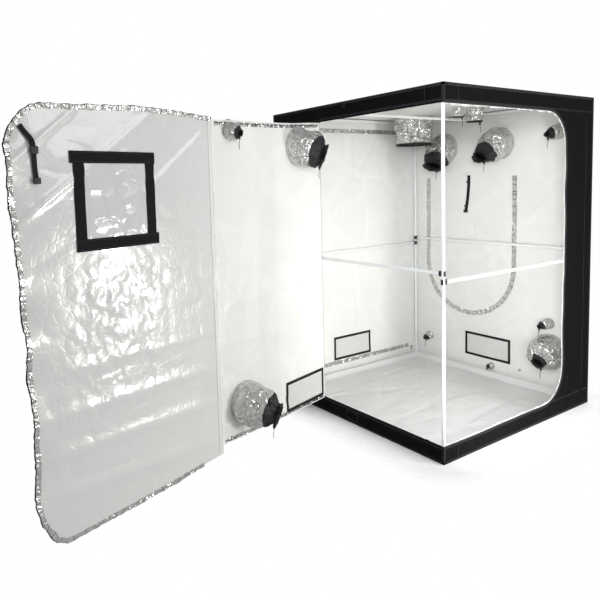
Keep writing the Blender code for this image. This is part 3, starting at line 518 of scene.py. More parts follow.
@dataclass
class Hanging:
    """The drape of the swung out wrap: soft folds, a wavy free edge and slack in between."""

    width: float
    seed: int
    slack: float
    free_edge: float = 0.0
    folds: tuple[Crease, ...] = ()
    low: Spot = (0.0, 0.05)
    high: Spot = (1.13, 1.9)
    seam: float = 0.0
    crumple: float = 0.0
    crumple_sizes: tuple[Spot, ...] = ((0.085, 0.62), (0.046, 0.55), (0.027, 0.4))
    edge_reach: float = 0.16
    foot: float = 0.12
    head: float = 1.87

    def __post_init__(self) -> None:
        """Make the sheet's own noise."""
        self.noise = LatticeNoise(self.seed)

    def __call__(self, across: Array, up: Array) -> Array:
        """How far each point of the wrap is moved out."""
        held = near(across, 0.12)
        off = self.noise.flat(across, up, 0.5) * self.slack
        off += self.noise.flat(across, up * 1.3, 0.16) * self.slack * 0.35
        ridge = 1 - np.abs(self.noise.flat(across + 3, up, 0.11)) * 2
        off += np.clip(ridge, 0, 1) ** 2 * self.slack * 0.3
        off += creases_at(self.folds, across, up, self.low, self.high)
        loose = near(across - self.width + self.edge_reach, self.edge_reach) ** 2
        off += loose * self.free_edge * np.sin(up * 19 + 1.2 * np.sin(up * 7))
        # The film crumples most in a leaning patch under the window
        away = ((across - 0.62 - 0.1 * (0.95 - up)) / 0.25) ** 4 + ((up - 0.93) / 0.4) ** 4
        mask = np.exp(-away) * self.crumple
        for size, share in self.crumple_sizes:
            one = self.noise.flat(across + size, up * 0.8, size)
            other = self.noise.flat(across * 0.8 + up * 0.6 + 4.0, up * 0.8 - across * 0.6, size)
            off += mask * share * (np.maximum(one, other) - 0.2)
        held = held * near(np.abs(up - self.seam), 0.1, 0.01)
        if not self.free_edge:
            held = held * near(up - self.foot, 0.05) * near(self.head - up, 0.05)
        return off * held


def no_drape(across: Array, up: Array) -> Array:
    """A flat sheet: nothing is moved."""
    return np.zeros_like(across)


@dataclass
class Face:
    """A working face: a plane with a drape on it, on which cloth and trim are laid.

    origin is where the sheet's own coordinates start, across and up are its two directions, and
    the outside of the tent is towards across x up.
    """

    origin: Array
    across: Array
    up: Array
    drape: Callable[[Array, Array], Array]

    @property
    def out(self) -> Array:
        """The direction out of the tent."""
        return np.cross(self.across, self.up)

    @property
    def axes(self) -> tuple[Array, Array, Array]:
        """Its three directions."""
        return self.across, self.up, self.out

    def place(self, across: Array, up: Array, lift: Array | float = 0.0) -> Array:
        """Where points of the sheet lie in the tent.

        Args:
            across: Distances along the sheet.
            up: Distances up the sheet.
            lift: How far outside the draped sheet.

        Returns:
            N by 3 positions.
        """
        across, up = np.asarray(across, float), np.asarray(up, float)
        flat = np.outer(across, self.across) + np.outer(up, self.up)
        return self.origin + flat + np.outer(self.drape(across, up) + lift, self.out)

    def point(self, across: float, up: float, lift: float = 0.0) -> Array:
        """Where one point of the sheet lies."""
        return self.place(np.array([across]), np.array([up]), lift)[0]

    def shifted(self, off: float) -> Face:
        """The same face, a little further out, for a layer that lies on it."""
        return Face(self.origin + self.out * off, self.across, self.up, self.drape)


def arc(centre: Spot, radius: float, start: float, end: float, steps: int = 14) -> list[Spot]:
    """Points along an arc from one angle in degrees to another, both ends included."""
    angles = np.radians(np.linspace(start, end, steps + 1))
    return [(centre[0] + radius * math.cos(a), centre[1] + radius * math.sin(a)) for a in angles]


def rounded(low: Spot, high: Spot, radii: Sequence[float] = (0,) * 4) -> list[Spot]:
    """A rectangle with a radius for each corner, from the low left one anticlockwise."""
    corners = ((low[0], low[1], 1, 1), (high[0], low[1], -1, 1))
    corners += ((high[0], high[1], -1, -1), (low[0], high[1], 1, -1))
    points: list[Spot] = []
    for quarter, ((x, y, right, up), radius) in enumerate(zip(corners, radii)):
        start = 180 + 90 * quarter
        centre = (x + right * radius, y + up * radius)
        points += arc(centre, radius, start, start + 90, 12) if radius else [(x, y)]
    return points


def polygon_area(outline: Path) -> float:
    """The area inside an outline."""
    x, y = np.array(outline).T
    return float(abs(x @ np.roll(y, -1) - y @ np.roll(x, -1)) / 2)


def resampled(path: Path | Array, step: float, closed: bool = False) -> Array:
    """Points evenly spaced along a path; a closed one returns but doesn't repeat its first."""
    corners = np.array([*path, path[0]] if closed else path, float)
    runs = np.linalg.norm(np.diff(corners, axis=0), axis=1)
    where = np.concatenate([[0.0], np.cumsum(runs)])
    count = max(int(round(where[-1] / step)), 3 if closed else 1)
    spots = np.linspace(0, where[-1], count + 1)
    made = np.stack([np.interp(spots, where, corners[:, i]) for i in range(corners.shape[1])], 1)
    return made[:-1] if closed else made


def headings(line: Array, closed: bool) -> Array:
    """The unit direction of a line at each of its points."""
    ahead = np.roll(line, -1, 0) - np.roll(line, 1, 0) if closed else np.gradient(line, axis=0)
    return ahead / np.linalg.norm(ahead, axis=1, keepdims=True)


def inside(points: Array, loops: Sequence[Array]) -> Array:
    """Which points lie inside the first loop and outside the others."""
    kept = np.zeros(len(points), bool)
    x, y = points[:, 0], points[:, 1]
    for loop in loops:
        for (x0, y0), (x1, y1) in zip(loop, np.roll(loop, -1, axis=0)):
            if y0 != y1:
                crosses = (y0 > y) != (y1 > y)
                kept ^= crosses & (x < (x1 - x0) * (y - y0) / (y1 - y0) + x0)
    return kept


def link(name: str, data: bpy.types.ID) -> Object:
    """Put an object with some data in the scene."""
    made = bpy.data.objects.new(name, data)
    bpy.context.scene.collection.objects.link(made)
    return made


def read(items: bpy.types.bpy_prop_collection, key: str, width: int = 1) -> Array:
    """A mesh's positions, or its corners' points, as an array."""
    data = np.zeros(len(items) * width, np.float32 if width > 1 else np.int32)
    items.foreach_get(key, data)
    return data.reshape(-1, width) if width > 1 else data


def map_cloth(mesh: bpy.types.Mesh, place: Array) -> None:
    """Give a mesh its one UV map, the cloth coordinates of each point in metres."""
    for layer in list(mesh.uv_layers):
        mesh.uv_layers.remove(layer)
    corner = read(mesh.loops, "vertex_index")
    layer = mesh.uv_layers.new(name="cloth")
    layer.data.foreach_set("uv", place[corner].astype(np.float32).ravel())


def mesh_object(
    name: str,
    points: Array,
    faces: Sequence[Sequence[int]] | Array,
    finishes: Sequence[Finish],
    slots: Array,
    place: Array,
) -> Object:
    """Make a mesh object at the origin.

    Args:
        name: The object's name.
        points: N by 3 positions in the tent.
        faces: Corner indices of each face.
        finishes: One finish for each material slot.
        slots: Which finish each face has.
        place: N by 2 cloth coordinates for the UV map, in metres.

    Returns:
        The new object.
    """
    mesh = bpy.data.meshes.new(name)
    mesh.from_pydata(points.tolist(), [], [list(map(int, face)) for face in faces])
    for finish in finishes:
        mesh.materials.append(finish.build())
    mesh.polygons.foreach_set("material_index", np.asarray(slots, np.int32))
    map_cloth(mesh, place)
    mesh.shade_smooth()
    mesh.set_sharp_from_angle(angle=SHARP)
    mesh.validate()
    return link(name, mesh)


def shell(
    name: str, outer: Array, inner: Array, faces: Array, finishes: Sequence[Finish], place: Array
) -> Object:
    """A closed sheet from its outer and inner points, which share one set of faces.

    Args:
        name: The object's name.
        outer: N by 3 positions of the outer side.
        inner: The same points on the inner side.
        faces: M by 3 or 4 corner indices, anticlockwise seen from outside.
        finishes: The outer and the inner finish.
        place: N by 2 cloth coordinates.

    Returns:
        The new object.
    """
    count, sides = len(outer), faces.shape[1]
    edges = np.concatenate([faces[:, [i, (i + 1) % sides]] for i in range(sides)])
    keys = {tuple(edge) for edge in edges.tolist()}
    rims = [edge for edge in keys if (edge[1], edge[0]) not in keys]
    walls = [(b, a, a + count, b + count) for a, b in sorted(rims)]
    every = faces.tolist() + (faces[:, ::-1] + count).tolist() + walls
    slots = np.array([0] * len(faces) + [1] * len(faces) + [0] * len(walls))
    points = np.concatenate([outer, inner])
    return mesh_object(name, points, every, finishes, slots, np.concatenate([place, place]))


def cloth(
    name: str,
    face: Face,
    outline: Path,
    holes: Sequence[Path] = (),
    cell: float = 0.016,
    thick: float = PLY,
    lift: float = 0.0,
    finishes: tuple[Finish, Finish] = (OXFORD, WHITE_FILM),
) -> Object:
    """Cut a sheet to an outline and lay it on a face.

    Args:
        name: The object's name.
        face: The face that it lies on.
        outline: Its edge, in the face's coordinates.
        holes: Edges of holes in it.
        cell: How fine its mesh is.
        thick: The cloth's thickness.
        lift: How far its outer side lies outside the face.
        finishes: The outer and the inner finish.

    Returns:
        The sheet.
    """
    loops = [resampled(loop, cell, closed=True) for loop in (outline, *holes)]
    low, high = loops[0].min(axis=0), loops[0].max(axis=0)
    rows = []
    for i, y in enumerate(np.arange(low[1] + cell / 2, high[1], cell * 0.87)):
        xs = np.arange(low[0] + cell * (0.5 if i % 2 else 0.25), high[0], cell)
        rows.append(np.stack([xs, np.full_like(xs, y)], axis=1))
    grid = np.concatenate(rows)
    grid = grid[inside(grid, loops)]
    edges, start = [], 0
    for loop in loops:
        for spot in loop:
            grid = grid[np.abs(grid - spot).max(axis=1) >= cell * 0.42]
        edges += [(start + i, start + (i + 1) % len(loop)) for i in range(len(loop))]
        start += len(loop)
    points = [Vector(p) for p in np.concatenate([*loops, grid])]
    made = delaunay_2d_cdt(points, edges, [], 0, 1e-7)
    flat = np.array([tuple(p) for p in made[0]])
    triangles = np.array([list(t) for t in made[2]])
    triangles = triangles[inside(flat[triangles].mean(axis=1), loops)]
    a, b, c = (flat[triangles[:, i]] for i in range(3))
    turned = np.cross(b - a, c - a) < 0
    triangles[turned] = triangles[turned][:, ::-1]
    used, fresh = np.unique(triangles, return_inverse=True)
    flat, triangles = flat[used], fresh.reshape(triangles.shape)
    outer, inner = (face.place(flat[:, 0], flat[:, 1], h) for h in (lift, lift - thick))
    return shell(name, outer, inner, triangles, finishes, flat)


def lofted(
    name: str,
    rings: Array,
    finishes: Sequence[Finish],
    bands: Sequence[int] | None = None,
    closed: bool = False,
) -> Object:
    """A closed skin over rings of points, with a flat cap on each end ring.

    Args:
        name: The object's name.
        rings: K rings of S points each, K by S by 3.
        finishes: The finishes used.
        bands: Which finish each band between two rings has, by default the first.
        closed: Whether the last ring meets the first, as in a hoop.

    Returns:
        The new object.
    """
    count, sides = rings.shape[:2]
    faces: list[tuple[int, ...]] = []
    slots: list[int] = []
    for k in range(count if closed else count - 1):
        a, b = k * sides, (k + 1) % count * sides
        for s in range(sides):
            t = (s + 1) % sides
            faces.append((a + s, a + t, b + t, b + s))
            slots.append(bands[k] if bands is not None else 0)
    if not closed:
        faces += [tuple(range(sides))[::-1], tuple((count - 1) * sides + s for s in range(sides))]
        slots += [slots[0], slots[-1]]
    points = rings.reshape(-1, 3)
    middle = points.mean(axis=0)
    volume = 0.0
    for face in faces:
        a, *rest = (points[i] - middle for i in face)
        volume += sum(float(a @ np.cross(b, c)) for b, c in zip(rest, rest[1:]))
    if volume < 0:
        faces = [face[::-1] for face in faces]
    runs = np.linalg.norm(np.diff(rings.mean(axis=1), axis=0), axis=1)
    along = np.concatenate([[0.0], np.cumsum(np.maximum(runs, 0.002))])
    girth = np.linalg.norm(rings - rings.mean(axis=1, keepdims=True), axis=2).max()
    around = np.abs(np.linspace(-1, 1, sides)) * math.pi * girth
    place = np.stack([np.repeat(along, sides), np.tile(around, count)], axis=1)
    return mesh_object(name, points, faces, finishes, np.array(slots), place)


def tube(
    name: str,
    path: Array,
    radius: float | Array,
    finish: Finish,
    sides: int = 8,
    closed: bool = False,
) -> Object:
    """A round tube along a path.

    Args:
        name: The object's name.
        path: N by 3 points.
        radius: One radius, or one for each point.
        finish: Its finish.
        sides: How many sides it has.
        closed: Whether it is a hoop.

    Returns:
        The new object.
    """
    ahead = headings(path, closed)
    first = np.cross(ahead[0], (0.31, 0.87, 0.38))
    normals = [first / np.linalg.norm(first)]
    for way in ahead[1:]:
        turned = normals[-1] - way * (normals[-1] @ way)
        normals.append(turned / np.linalg.norm(turned))
    normal = np.array(normals)
    angles = np.linspace(0, 2 * math.pi, sides, endpoint=False)
    size = np.broadcast_to(np.asarray(radius, float), (len(path),))[:, None, None]
    ring = normal[:, None] * np.cos(angles)[None, :, None]
    ring = ring + np.cross(ahead, normal)[:, None] * np.sin(angles)[None, :, None]
    return lofted(name, path[:, None] + ring * size, (finish,), closed=closed)


def block(
    name: str, body: str, face: Face, spot: Sequence[float], size: Sequence[float], finish: Finish
) -> None:
    """A small moulded block with softened edges, set square to a face.

    Args:
        name: The object's name.
        body: The body that it goes with.
        face: The face that it is square to.
        spot: Its middle, across and up the face and out of it.
        size: Its three sizes.
        finish: Its finish.
    """
    long, wide, high = face.axes
    middle = face.point(*spot)
    soft = 0.22 * min(size)
    ends = 1 - 2 * soft / size[1]
    corner = rounded((-size[1] / 2, -size[2] / 2), (size[1] / 2, size[2] / 2), (soft,) * 4)
    outline = [wide * x + high * y for x, y in corner[::3]]
    rings = [
        [middle + long * along * size[0] / 2 + p * shrink for p in outline]
        for along, shrink in ((-1, ends), (-0.86, 1), (0.86, 1), (1, ends))
    ]
    ride(lofted(name, np.array(rings), (finish,)), body, finish.slot)


def ride(made: Object, body: str, slot: str, *nodes: str) -> Object:
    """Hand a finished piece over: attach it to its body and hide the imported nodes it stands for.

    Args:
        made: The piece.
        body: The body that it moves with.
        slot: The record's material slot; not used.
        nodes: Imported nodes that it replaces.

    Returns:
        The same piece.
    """
    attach(made, body)
    if nodes:
        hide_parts(*nodes)
    return made


def hand_over(
    made: Object,
    body: str,
    slot: str,
    node: str | None,
    flat: Spot,
    held: str,
    *under: str,
    area: float | None = None,
) -> None:
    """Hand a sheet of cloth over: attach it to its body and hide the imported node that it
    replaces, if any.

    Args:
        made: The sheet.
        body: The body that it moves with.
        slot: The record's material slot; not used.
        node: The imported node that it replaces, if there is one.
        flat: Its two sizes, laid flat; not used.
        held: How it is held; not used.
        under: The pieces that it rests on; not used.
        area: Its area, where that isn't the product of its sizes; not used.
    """
    ride(made, body, slot, *([node] if node else []))


@functools.cache
def row_tree(beads: bool) -> Tree:
    """The geometry tree of a row along lines.

    Args:
        beads: Whether it sets small blocks along the lines, turned to each line and to its
            face.  If not, it makes the lines round wires.

    Returns:
        The tree, with named inputs.
    """
    name = "beads_along_lines" if beads else "wires_along_lines"
    tree = bpy.data.node_groups.new(name, "GeometryNodeTree")
    kinds = {"Pitch": "Float", "Size": "Vector", "Seed": "Int"} if beads else {"Radius": "Float"}
    for key, kind in {"Geometry": "Geometry", **kinds, "Finish": "Material"}.items():
        tree.interface.new_socket(key, in_out="INPUT", socket_type=f"NodeSocket{kind}")
    tree.interface.new_socket("Geometry", in_out="OUTPUT", socket_type="NodeSocketGeometry")
    start = add_node(tree, "NodeGroupInput").outputs

    def step(kind: str, inputs: dict | None = None, **settings: object) -> Socket:
        """Add a geometry node, and give its first output."""
        return add_node(tree, f"GeometryNode{kind}", inputs, **settings).outputs[0]

    line = step("MeshToCurve", {"Mesh": start["Geometry"]})
    if beads:
        line = step("ResampleCurve", {"Curve": line, "Length": start["Pitch"]}, mode="LENGTH")
        ahead = {"Vector": step("InputTangent")}
        along = add_node(tree, "FunctionNodeAlignRotationToVector", ahead, axis="X")
        out = add_node(
            tree, "GeometryNodeInputNamedAttribute", {"Name": "out"}, data_type="FLOAT_VECTOR"
        )
        outward = {"Rotation": along.outputs[0], "Vector": out.outputs["Attribute"]}
        turned = add_node(
            tree, "FunctionNodeAlignRotationToVector", outward, axis="Z", pivot_axis="X"
        )
        spread = {"Min": (0.86,) * 3, "Max": (1.08,) * 3, "Seed": start["Seed"]}
        scale = add_node(tree, "FunctionNodeRandomValue", spread, data_type="FLOAT_VECTOR")
        bead = step("MeshCube", {"Size": start["Size"]})
        inputs = {"Points": line, "Instance": bead, "Rotation": turned.outputs[0]}
        made = step("InstanceOnPoints", {**inputs, "Scale": scale.outputs["Value"]})
    else:
        ring = step("CurvePrimitiveCircle", {"Resolution": 3, "Radius": start["Radius"]})
        made = step("CurveToMesh", {"Curve": line, "Profile Curve": ring, "Fill Caps": True})
    real = step("RealizeInstances", {"Geometry": made})
    dressed = step("SetMaterial", {"Geometry": real, "Material": start["Finish"]})
    add_node(tree, "NodeGroupOutput", {"Geometry": dressed})
    return tree


@dataclass
class Rows:
    """Many small equal parts along lines on the cloth, grown together for each body."""

    label: str
    finish: Finish
    beads: bool
    values: dict[str, object]
    lines: dict[str, list[tuple[Array, Array]]] = field(default_factory=dict)

    def add(
        self,
        body: str,
        face: Face,
        path: Path,
        lift: float,
        closed: bool = False,
        step: float = 0.012,
    ) -> None:
        """Remember one line.

        Args:
            body: The body that it goes with.
            face: The face that it lies on.
            path: The line, in the face's coordinates.
            lift: How far outside the face it lies.
            closed: Whether it returns to its start.
            step: How closely it follows the cloth.
        """
        flat = resampled(path, step, closed)
        if closed:
            flat = np.concatenate([flat, flat[:1]])
        points = face.place(flat[:, 0], flat[:, 1], lift)
        out = np.tile(face.out, (len(points), 1))
        self.lines.setdefault(body, []).append((points, out))

    def grow(self) -> None:
        """Grow the parts of every body and hand them over."""
        for body, lines in self.lines.items():
            edges, start = [], 0
            for points, _ in lines:
                edges += [(start + i, start + i + 1) for i in range(len(points) - 1)]
                start += len(points)
            mesh = bpy.data.meshes.new(self.label)
            mesh.from_pydata(np.concatenate([p for p, _ in lines]).tolist(), edges, [])
            out = mesh.attributes.new("out", "FLOAT_VECTOR", "POINT")
            out.data.foreach_set("vector", np.concatenate([o for _, o in lines]).ravel())
            source = link(self.label, mesh)
            modifier = source.modifiers.new("grown", "NODES")
            modifier.node_group = tree = row_tree(self.beads)
            wanted = {**self.values, "Finish": self.finish.build()}
            for item in tree.interface.items_tree:
                if item.in_out == "INPUT" and item.name in wanted:
                    modifier[item.identifier] = wanted[item.name]
            depsgraph = bpy.context.evaluated_depsgraph_get()
            grown = bpy.data.meshes.new_from_object(source.evaluated_get(depsgraph))
            bpy.data.objects.remove(source)
            points = read(grown.vertices, "co", 3)
            map_cloth(grown, np.stack([points[:, 0] + points[:, 1], points[:, 2]], 1))
            ride(link(f"{self.label}_{body}", grown), body, self.finish.slot)


THREAD = {"Pitch": 0.0055, "Size": (0.0036, 0.0007, 0.0006), "Seed": 3}
ZIP = {"Pitch": 0.0034, "Size": (0.0017, 0.0062, 0.0022), "Seed": 5}
STITCHES = Rows("stitches", GREY_THREAD, True, THREAD)
TEETH = Rows("zip_teeth", COIL, True, ZIP)
NET_WIRES = Rows("net_wires", NETTING, False, {"Radius": 0.0004})
# How far a stitch stands off the bare cloth, and what two rounded corners take off an area, in
# squares of their radius
ON_CLOTH, TWO_CORNERS = 0.0004, 0.43


@dataclass(frozen=True)
class Ribbon:
    """A band of cloth, tape or film that follows a path on a face.

    side is 1 on the outside of the tent and -1 on the inside, where the wall's own thickness lies
    between.  lift is its clearance from the wall, offset moves it sideways off its path, wavy is
    how far its edges wander and crush how far it stands up and down, in strips fine wide.
    """

    finish: Finish
    width: float
    side: int = -1
    thick: float = PLY
    lift: float = 0.0003
    offset: float = 0.0
    wavy: float = 0.0
    crush: float = 0.0
    step: float = 0.014
    seed: int = 1
    columns: int = 3
    fine: float = 0.0065

    def lay(
        self,
        name: str,
        body: str | None,
        face: Face,
        path: Path,
        closed: bool = False,
        rise: Callable[[Array], Array] | None = None,
    ) -> Object:
        """Lay the band along a path.

        Args:
            name: The object's name.
            body: The body that it goes with, or none for a band that bends between two.
            face: The face that it lies on.
            path: Its middle line, in the face's coordinates.
            closed: Whether it returns to its start.
            rise: Extra height off the wall for each share of its length.

        Returns:
            The band.
        """
        line = resampled(path, self.step, closed)
        ahead = headings(line, closed)
        beside = np.stack([-ahead[:, 1], ahead[:, 0]], axis=1)
        count = len(line)
        along = np.arange(count) * self.step
        columns = max(self.columns, int(self.width / self.fine) + 1 if self.crush else 3)
        noise = LatticeNoise(self.seed)
        flats, places, rises = [], [], []
        for share in np.linspace(-0.5, 0.5, columns):
            wander = noise.flat(along, np.full(count, 2 + share), 0.022)
            wander += 0.5 * noise.flat(along, np.full(count, 9 + share), 0.009)
            reach = self.offset + share * self.width + wander * self.wavy * abs(share) * 2
            flats.append(line + beside * reach[:, None])
            across = np.full(count, share * self.width)
            places.append(np.stack([along, across], axis=1))
            height = self.crush * np.abs(noise.flat(along, across, 0.017))
            rises.append(height + rise(np.linspace(0, 1, count)) if rise else height)
        u, v = np.concatenate(flats).T
        height = np.concatenate(rises)
        base = self.lift + (0.0 if self.side > 0 else PLY)
        close = face.place(u, v, self.side * (base + height * 0.8))
        far = face.place(u, v, self.side * (base + height + self.thick))
        quads = np.array([
            (c + i, c + j, c + count + j, c + count + i)
            for c in range(0, (columns - 1) * count, count)
            for i, j in ((i, (i + 1) % count) for i in range(count if closed else count - 1))
        ])  # fmt: skip
        if self.side < 0:
            quads = quads[:, ::-1]
        finishes = (self.finish, self.finish)
        made = shell(name, far, close, quads, finishes, np.concatenate(places))
        if body is None:
            return made
        return ride(made, body, self.finish.slot)


@dataclass
class Sleeve:
    """A gathered sleeve: a crushed foil tube sewn round a port, then black cloth drawn shut.

    centre, reach, drop and sway are in the coordinates of its face: it stands reach off the wall
    inside, and its mouth hangs drop lower and sway sideways.  It stays cleared off the draped wall
    up to its root, which is sewn_in deep, and one wider than large has a finer mesh.
    """

    name: str
    body: str
    centre: Spot
    radius: float
    reach: float
    drop: float
    sway: float
    seed: int
    foil_share: float = 0.68
    tail: float = 0.05
    mouth_share: float = 0.5
    open: bool = False
    squeeze: Spot = (1.0, 0.7)
    large: float = 0.07
    cleared: float = 0.0016
    sewn_in: float = 0.014

    def rings(self, face: Face) -> tuple[Array, list[int]]:
        """The sleeve's rings from its root to its mouth and back inside.

        Args:
            face: The face that it hangs on.

        Returns:
            The rings, and the finish of each band between them.
        """
        sides, count = self.fineness
        profile = [(0.0, 1.0), (0.1, 1.05), (0.3, 1.04), (0.55, 1.0)]
        neck = self.mouth_share
        profile += [(0.97, 0.96), (1.0, 0.98)] if self.open else [
            (0.72, 0.88), (0.84, neck * 1.35), (0.9, neck), (0.93, neck * 0.96), (1.0, neck * 1.18)
        ]  # fmt: skip
        where = np.linspace(0, 1, count)
        radii = np.interp(where, *np.array(profile).T)
        noise = LatticeNoise(self.seed)
        root = face.point(*self.centre, -self.cleared)
        way = -face.out
        phases = np.random.default_rng(self.seed).random(3) * 6.28
        angles = np.linspace(0, 2 * math.pi, sides, endpoint=False)
        cosine, sine = np.cos(angles), np.sin(angles)
        circle = np.stack([cosine * 2, sine * 2, angles * 0], axis=1)
        rings = []
        for t, radius in zip(where, radii):
            bend = t**1.5
            middle = root + way * self.reach * (t - 0.12 * t * t)
            middle = middle - face.up * self.drop * bend + face.across * self.sway * bend
            tilt = math.atan2(self.drop * 1.5 * t**0.5, self.reach)
            lean = math.atan2(self.sway * 1.5 * t**0.5, self.reach)
            right = face.across * math.cos(lean) - way * math.sin(lean)
            upward = face.up * math.cos(tilt) + way * math.sin(tilt)
            late = np.clip((t - self.foil_share + 0.12) / 0.4, 0, 1)
            fold = (0.05 if self.open else 0.15) * late + 0.05 * min(t * 5, 1)
            uneven = noise.at(circle + (0, 0, t), 0.7)
            # Three broad waves, eight pleats and fifteen fine ones, none quite regular
            wave = 0.6 * np.cos(3 * angles + phases[0] + uneven)
            wave += 0.5 * np.cos(8 * angles + phases[1] + 1.5 * uneven)
            wave += 0.35 * np.cos(15 * angles + phases[2] + 2 * uneven) + 0.7 * uneven
            spread = radius * self.radius * (1 + fold * wave * 0.6)
            share = 0.1 * late if self.open else late
            wide = 1 + (self.squeeze[0] - 1) * share
            tall = 1 + (self.squeeze[1] - 1) * share - 0.08 * math.sin(math.pi * t)
            ring = middle + np.outer(cosine * spread * wide, right)
            ring = ring + np.outer(sine * spread * tall, upward)
            if 0 < t:
                away = ring - middle
                away /= np.linalg.norm(away, axis=1, keepdims=True)
                lumps = noise.at(ring, 0.07) * 0.12 + noise.at(ring, 0.03) * 0.025
                lumps -= (1 - np.abs(noise.at(ring + 0.3, 0.05)) * 2).clip(0, 1) ** 2 * 0.1
                calm = min(t * 6, 1) * (1 - 0.55 * late)
                ring = ring + away * (lumps * self.radius * calm)[:, None]
            # No point of it goes into the draped wall
            spots = ring - face.origin
            wall = face.place(spots @ face.across, spots @ face.up, -self.cleared)
            deep = (ring - wall) @ way
            rings.append(ring + np.outer(np.maximum(min(0.0012, t) - deep, 0.0), way))
        bands = [0 if t < (0.93 if self.open else self.foil_share) else 1 for t in where[:-1]]
        for i in [i for i, t in enumerate(where) if t > (0.4 if self.open else 0.66)][::-1]:
            middle = rings[i].mean(axis=0)
            rings.append(middle + (rings[i] - middle) * 0.965)
            bands.append(1 if where[i] > 0.9 or not self.open else 0)
        # Its closed end lies inside the wall's folds
        middle = rings[0].mean(axis=0)
        rings.insert(0, middle + way * self.sewn_in + (rings[0] - middle) * 0.93)
        return np.array(rings), [0, *bands]

    @property
    def fineness(self) -> tuple[int, int]:
        """How many sides and rings the sleeve's mesh has."""
        return (120, 60) if self.radius > self.large else (64, 34)

    def build(self, face: Face) -> None:
        """Hang the sleeve with its cord, cord lock, tail and the hem outside."""
        rings, bands = self.rings(face)
        made = lofted(f"{self.name}_bag", rings, (FOIL, SOFT_BLACK), bands)
        packed = [self.name] if self.name in FRAME["nodes"] else []
        ride(made, self.body, FOIL.slot, *packed)
        count = self.fineness[1]
        waist = 1 + min(range(count), key=lambda i: abs(i / (count - 1) - 0.93))
        middle = rings[waist].mean(axis=0)
        away = rings[waist] - middle
        neck = middle + away * (1 + 0.0012 / np.linalg.norm(away, axis=1, keepdims=True))
        cord = tube(f"{self.name}_drawcord", neck[::2], 0.0013, CORD, 6, closed=True)
        ride(cord, self.body, CORD.slot)
        low = neck[int(np.argmin(neck[:, 2]))]
        size = 0.007 if self.radius > 0.05 else 0.005
        heights = np.array([0.001, 0.0, -0.004, -0.018, -0.021, -0.0212, -0.026, -0.027])
        path = low + np.outer(heights * size / 0.007, (0, 0, 1.0)) + face.across * 0.001
        radii = np.array([0.5, 0.8, 1.0, 1.0, 0.8, 0.5, 0.48, 0.3]) * size
        ride(tube(f"{self.name}_cord_lock", path, radii, ABS, 14), self.body, ABS.slot)
        steps = np.linspace(0, 1, 15)
        swing = np.sin(steps * 2.6) * self.tail * 0.12
        line = path[-1] - np.outer(steps * self.tail, (0, 0, 1.0)) + np.outer(swing, face.across)
        tail = tube(f"{self.name}_cord_tail", line, 0.0015, CORD, 8)
        ride(tail, self.body, CORD.slot)
        around = arc(self.centre, self.radius + 0.007, 0, 360, 60)[:-1]
        hem = Ribbon(HEM, 0.018, side=1, step=0.012)
        hem.lay(f"{self.name}_outer_hem", self.body, face, around, closed=True)
        STITCHES.add(self.body, face, around, lift=0.0018, closed=True)


@dataclass
class Vent:
    """A low vent: netting in a black border and the flap that covers it outside."""

    name: str
    body: str
    low: Spot
    high: Spot
    wall: str
    border: float = 0.018
    pitch: float = 0.0052

    def build(self, face: Face, cover_face: Face) -> None:
        """Build the vent on its wall.

        Args:
            face: The wall's face.
            cover_face: The face that the closed flap lies on.
        """
        (u0, v0), (u1, v1) = self.low, self.high
        rim, half = self.border, self.border / 2
        for u in np.arange(u0 + rim, u1 - rim, self.pitch):
            path = [(u, v0 + half), (u, v1 - half)]
            NET_WIRES.add(self.body, face, path, lift=-0.0022, step=0.03)
        for v in np.arange(v0 + rim, v1 - rim, self.pitch):
            path = [(u0 + half, v), (u1 - half, v)]
            NET_WIRES.add(self.body, face, path, lift=-0.0028, step=0.03)
        tape = Ribbon(HOOK_TAPE, rim, lift=0.002, thick=0.0016)
        for key, path in {
            "low": [(u0, v0 + half), (u1, v0 + half)],
            "high": [(u0, v1 - half), (u1, v1 - half)],
            "left": [(u0 + half, v0 + rim), (u0 + half, v1 - rim)],
            "right": [(u1 - half, v0 + rim), (u1 - half, v1 - rim)],
        }.items():
            made = tape.lay(f"{self.name}_border_{key}", self.body, face, path)
            if key == "low":
                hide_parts(f"{self.name}_net")
            STITCHES.add(self.body, face, path, lift=-0.0054)
        cover = f"{self.name}_cover"
        outline = rounded((u0 - 0.012, v0 - 0.005), (u1 + 0.012, v1 + 0.01), (0.012, 0.012, 0, 0))
        finishes = (OXFORD, HOOK_TAPE)
        flap = cloth(
            f"{cover}_cloth", cover_face, outline, cell=0.018, lift=0.0018, finishes=finishes
        )
        flat = (u1 - u0 + 0.024, v1 - v0 + 0.015)
        hand_over(flap, cover, BLACK, cover, flat, "stretched", self.wall)
        hem = Ribbon(HEM, 0.014, side=1, lift=0.002, thick=0.0008, step=0.02)
        for key, path in {
            "low": [(u0 - 0.006, v0 + 0.003), (u1 + 0.006, v0 + 0.003)],
            "high": [(u0 - 0.008, v1 + 0.001), (u1 + 0.008, v1 + 0.001)],
        }.items():
            hem.lay(f"{cover}_hem_{key}", cover, cover_face, path)
            STITCHES.add(cover, cover_face, path, lift=0.003)


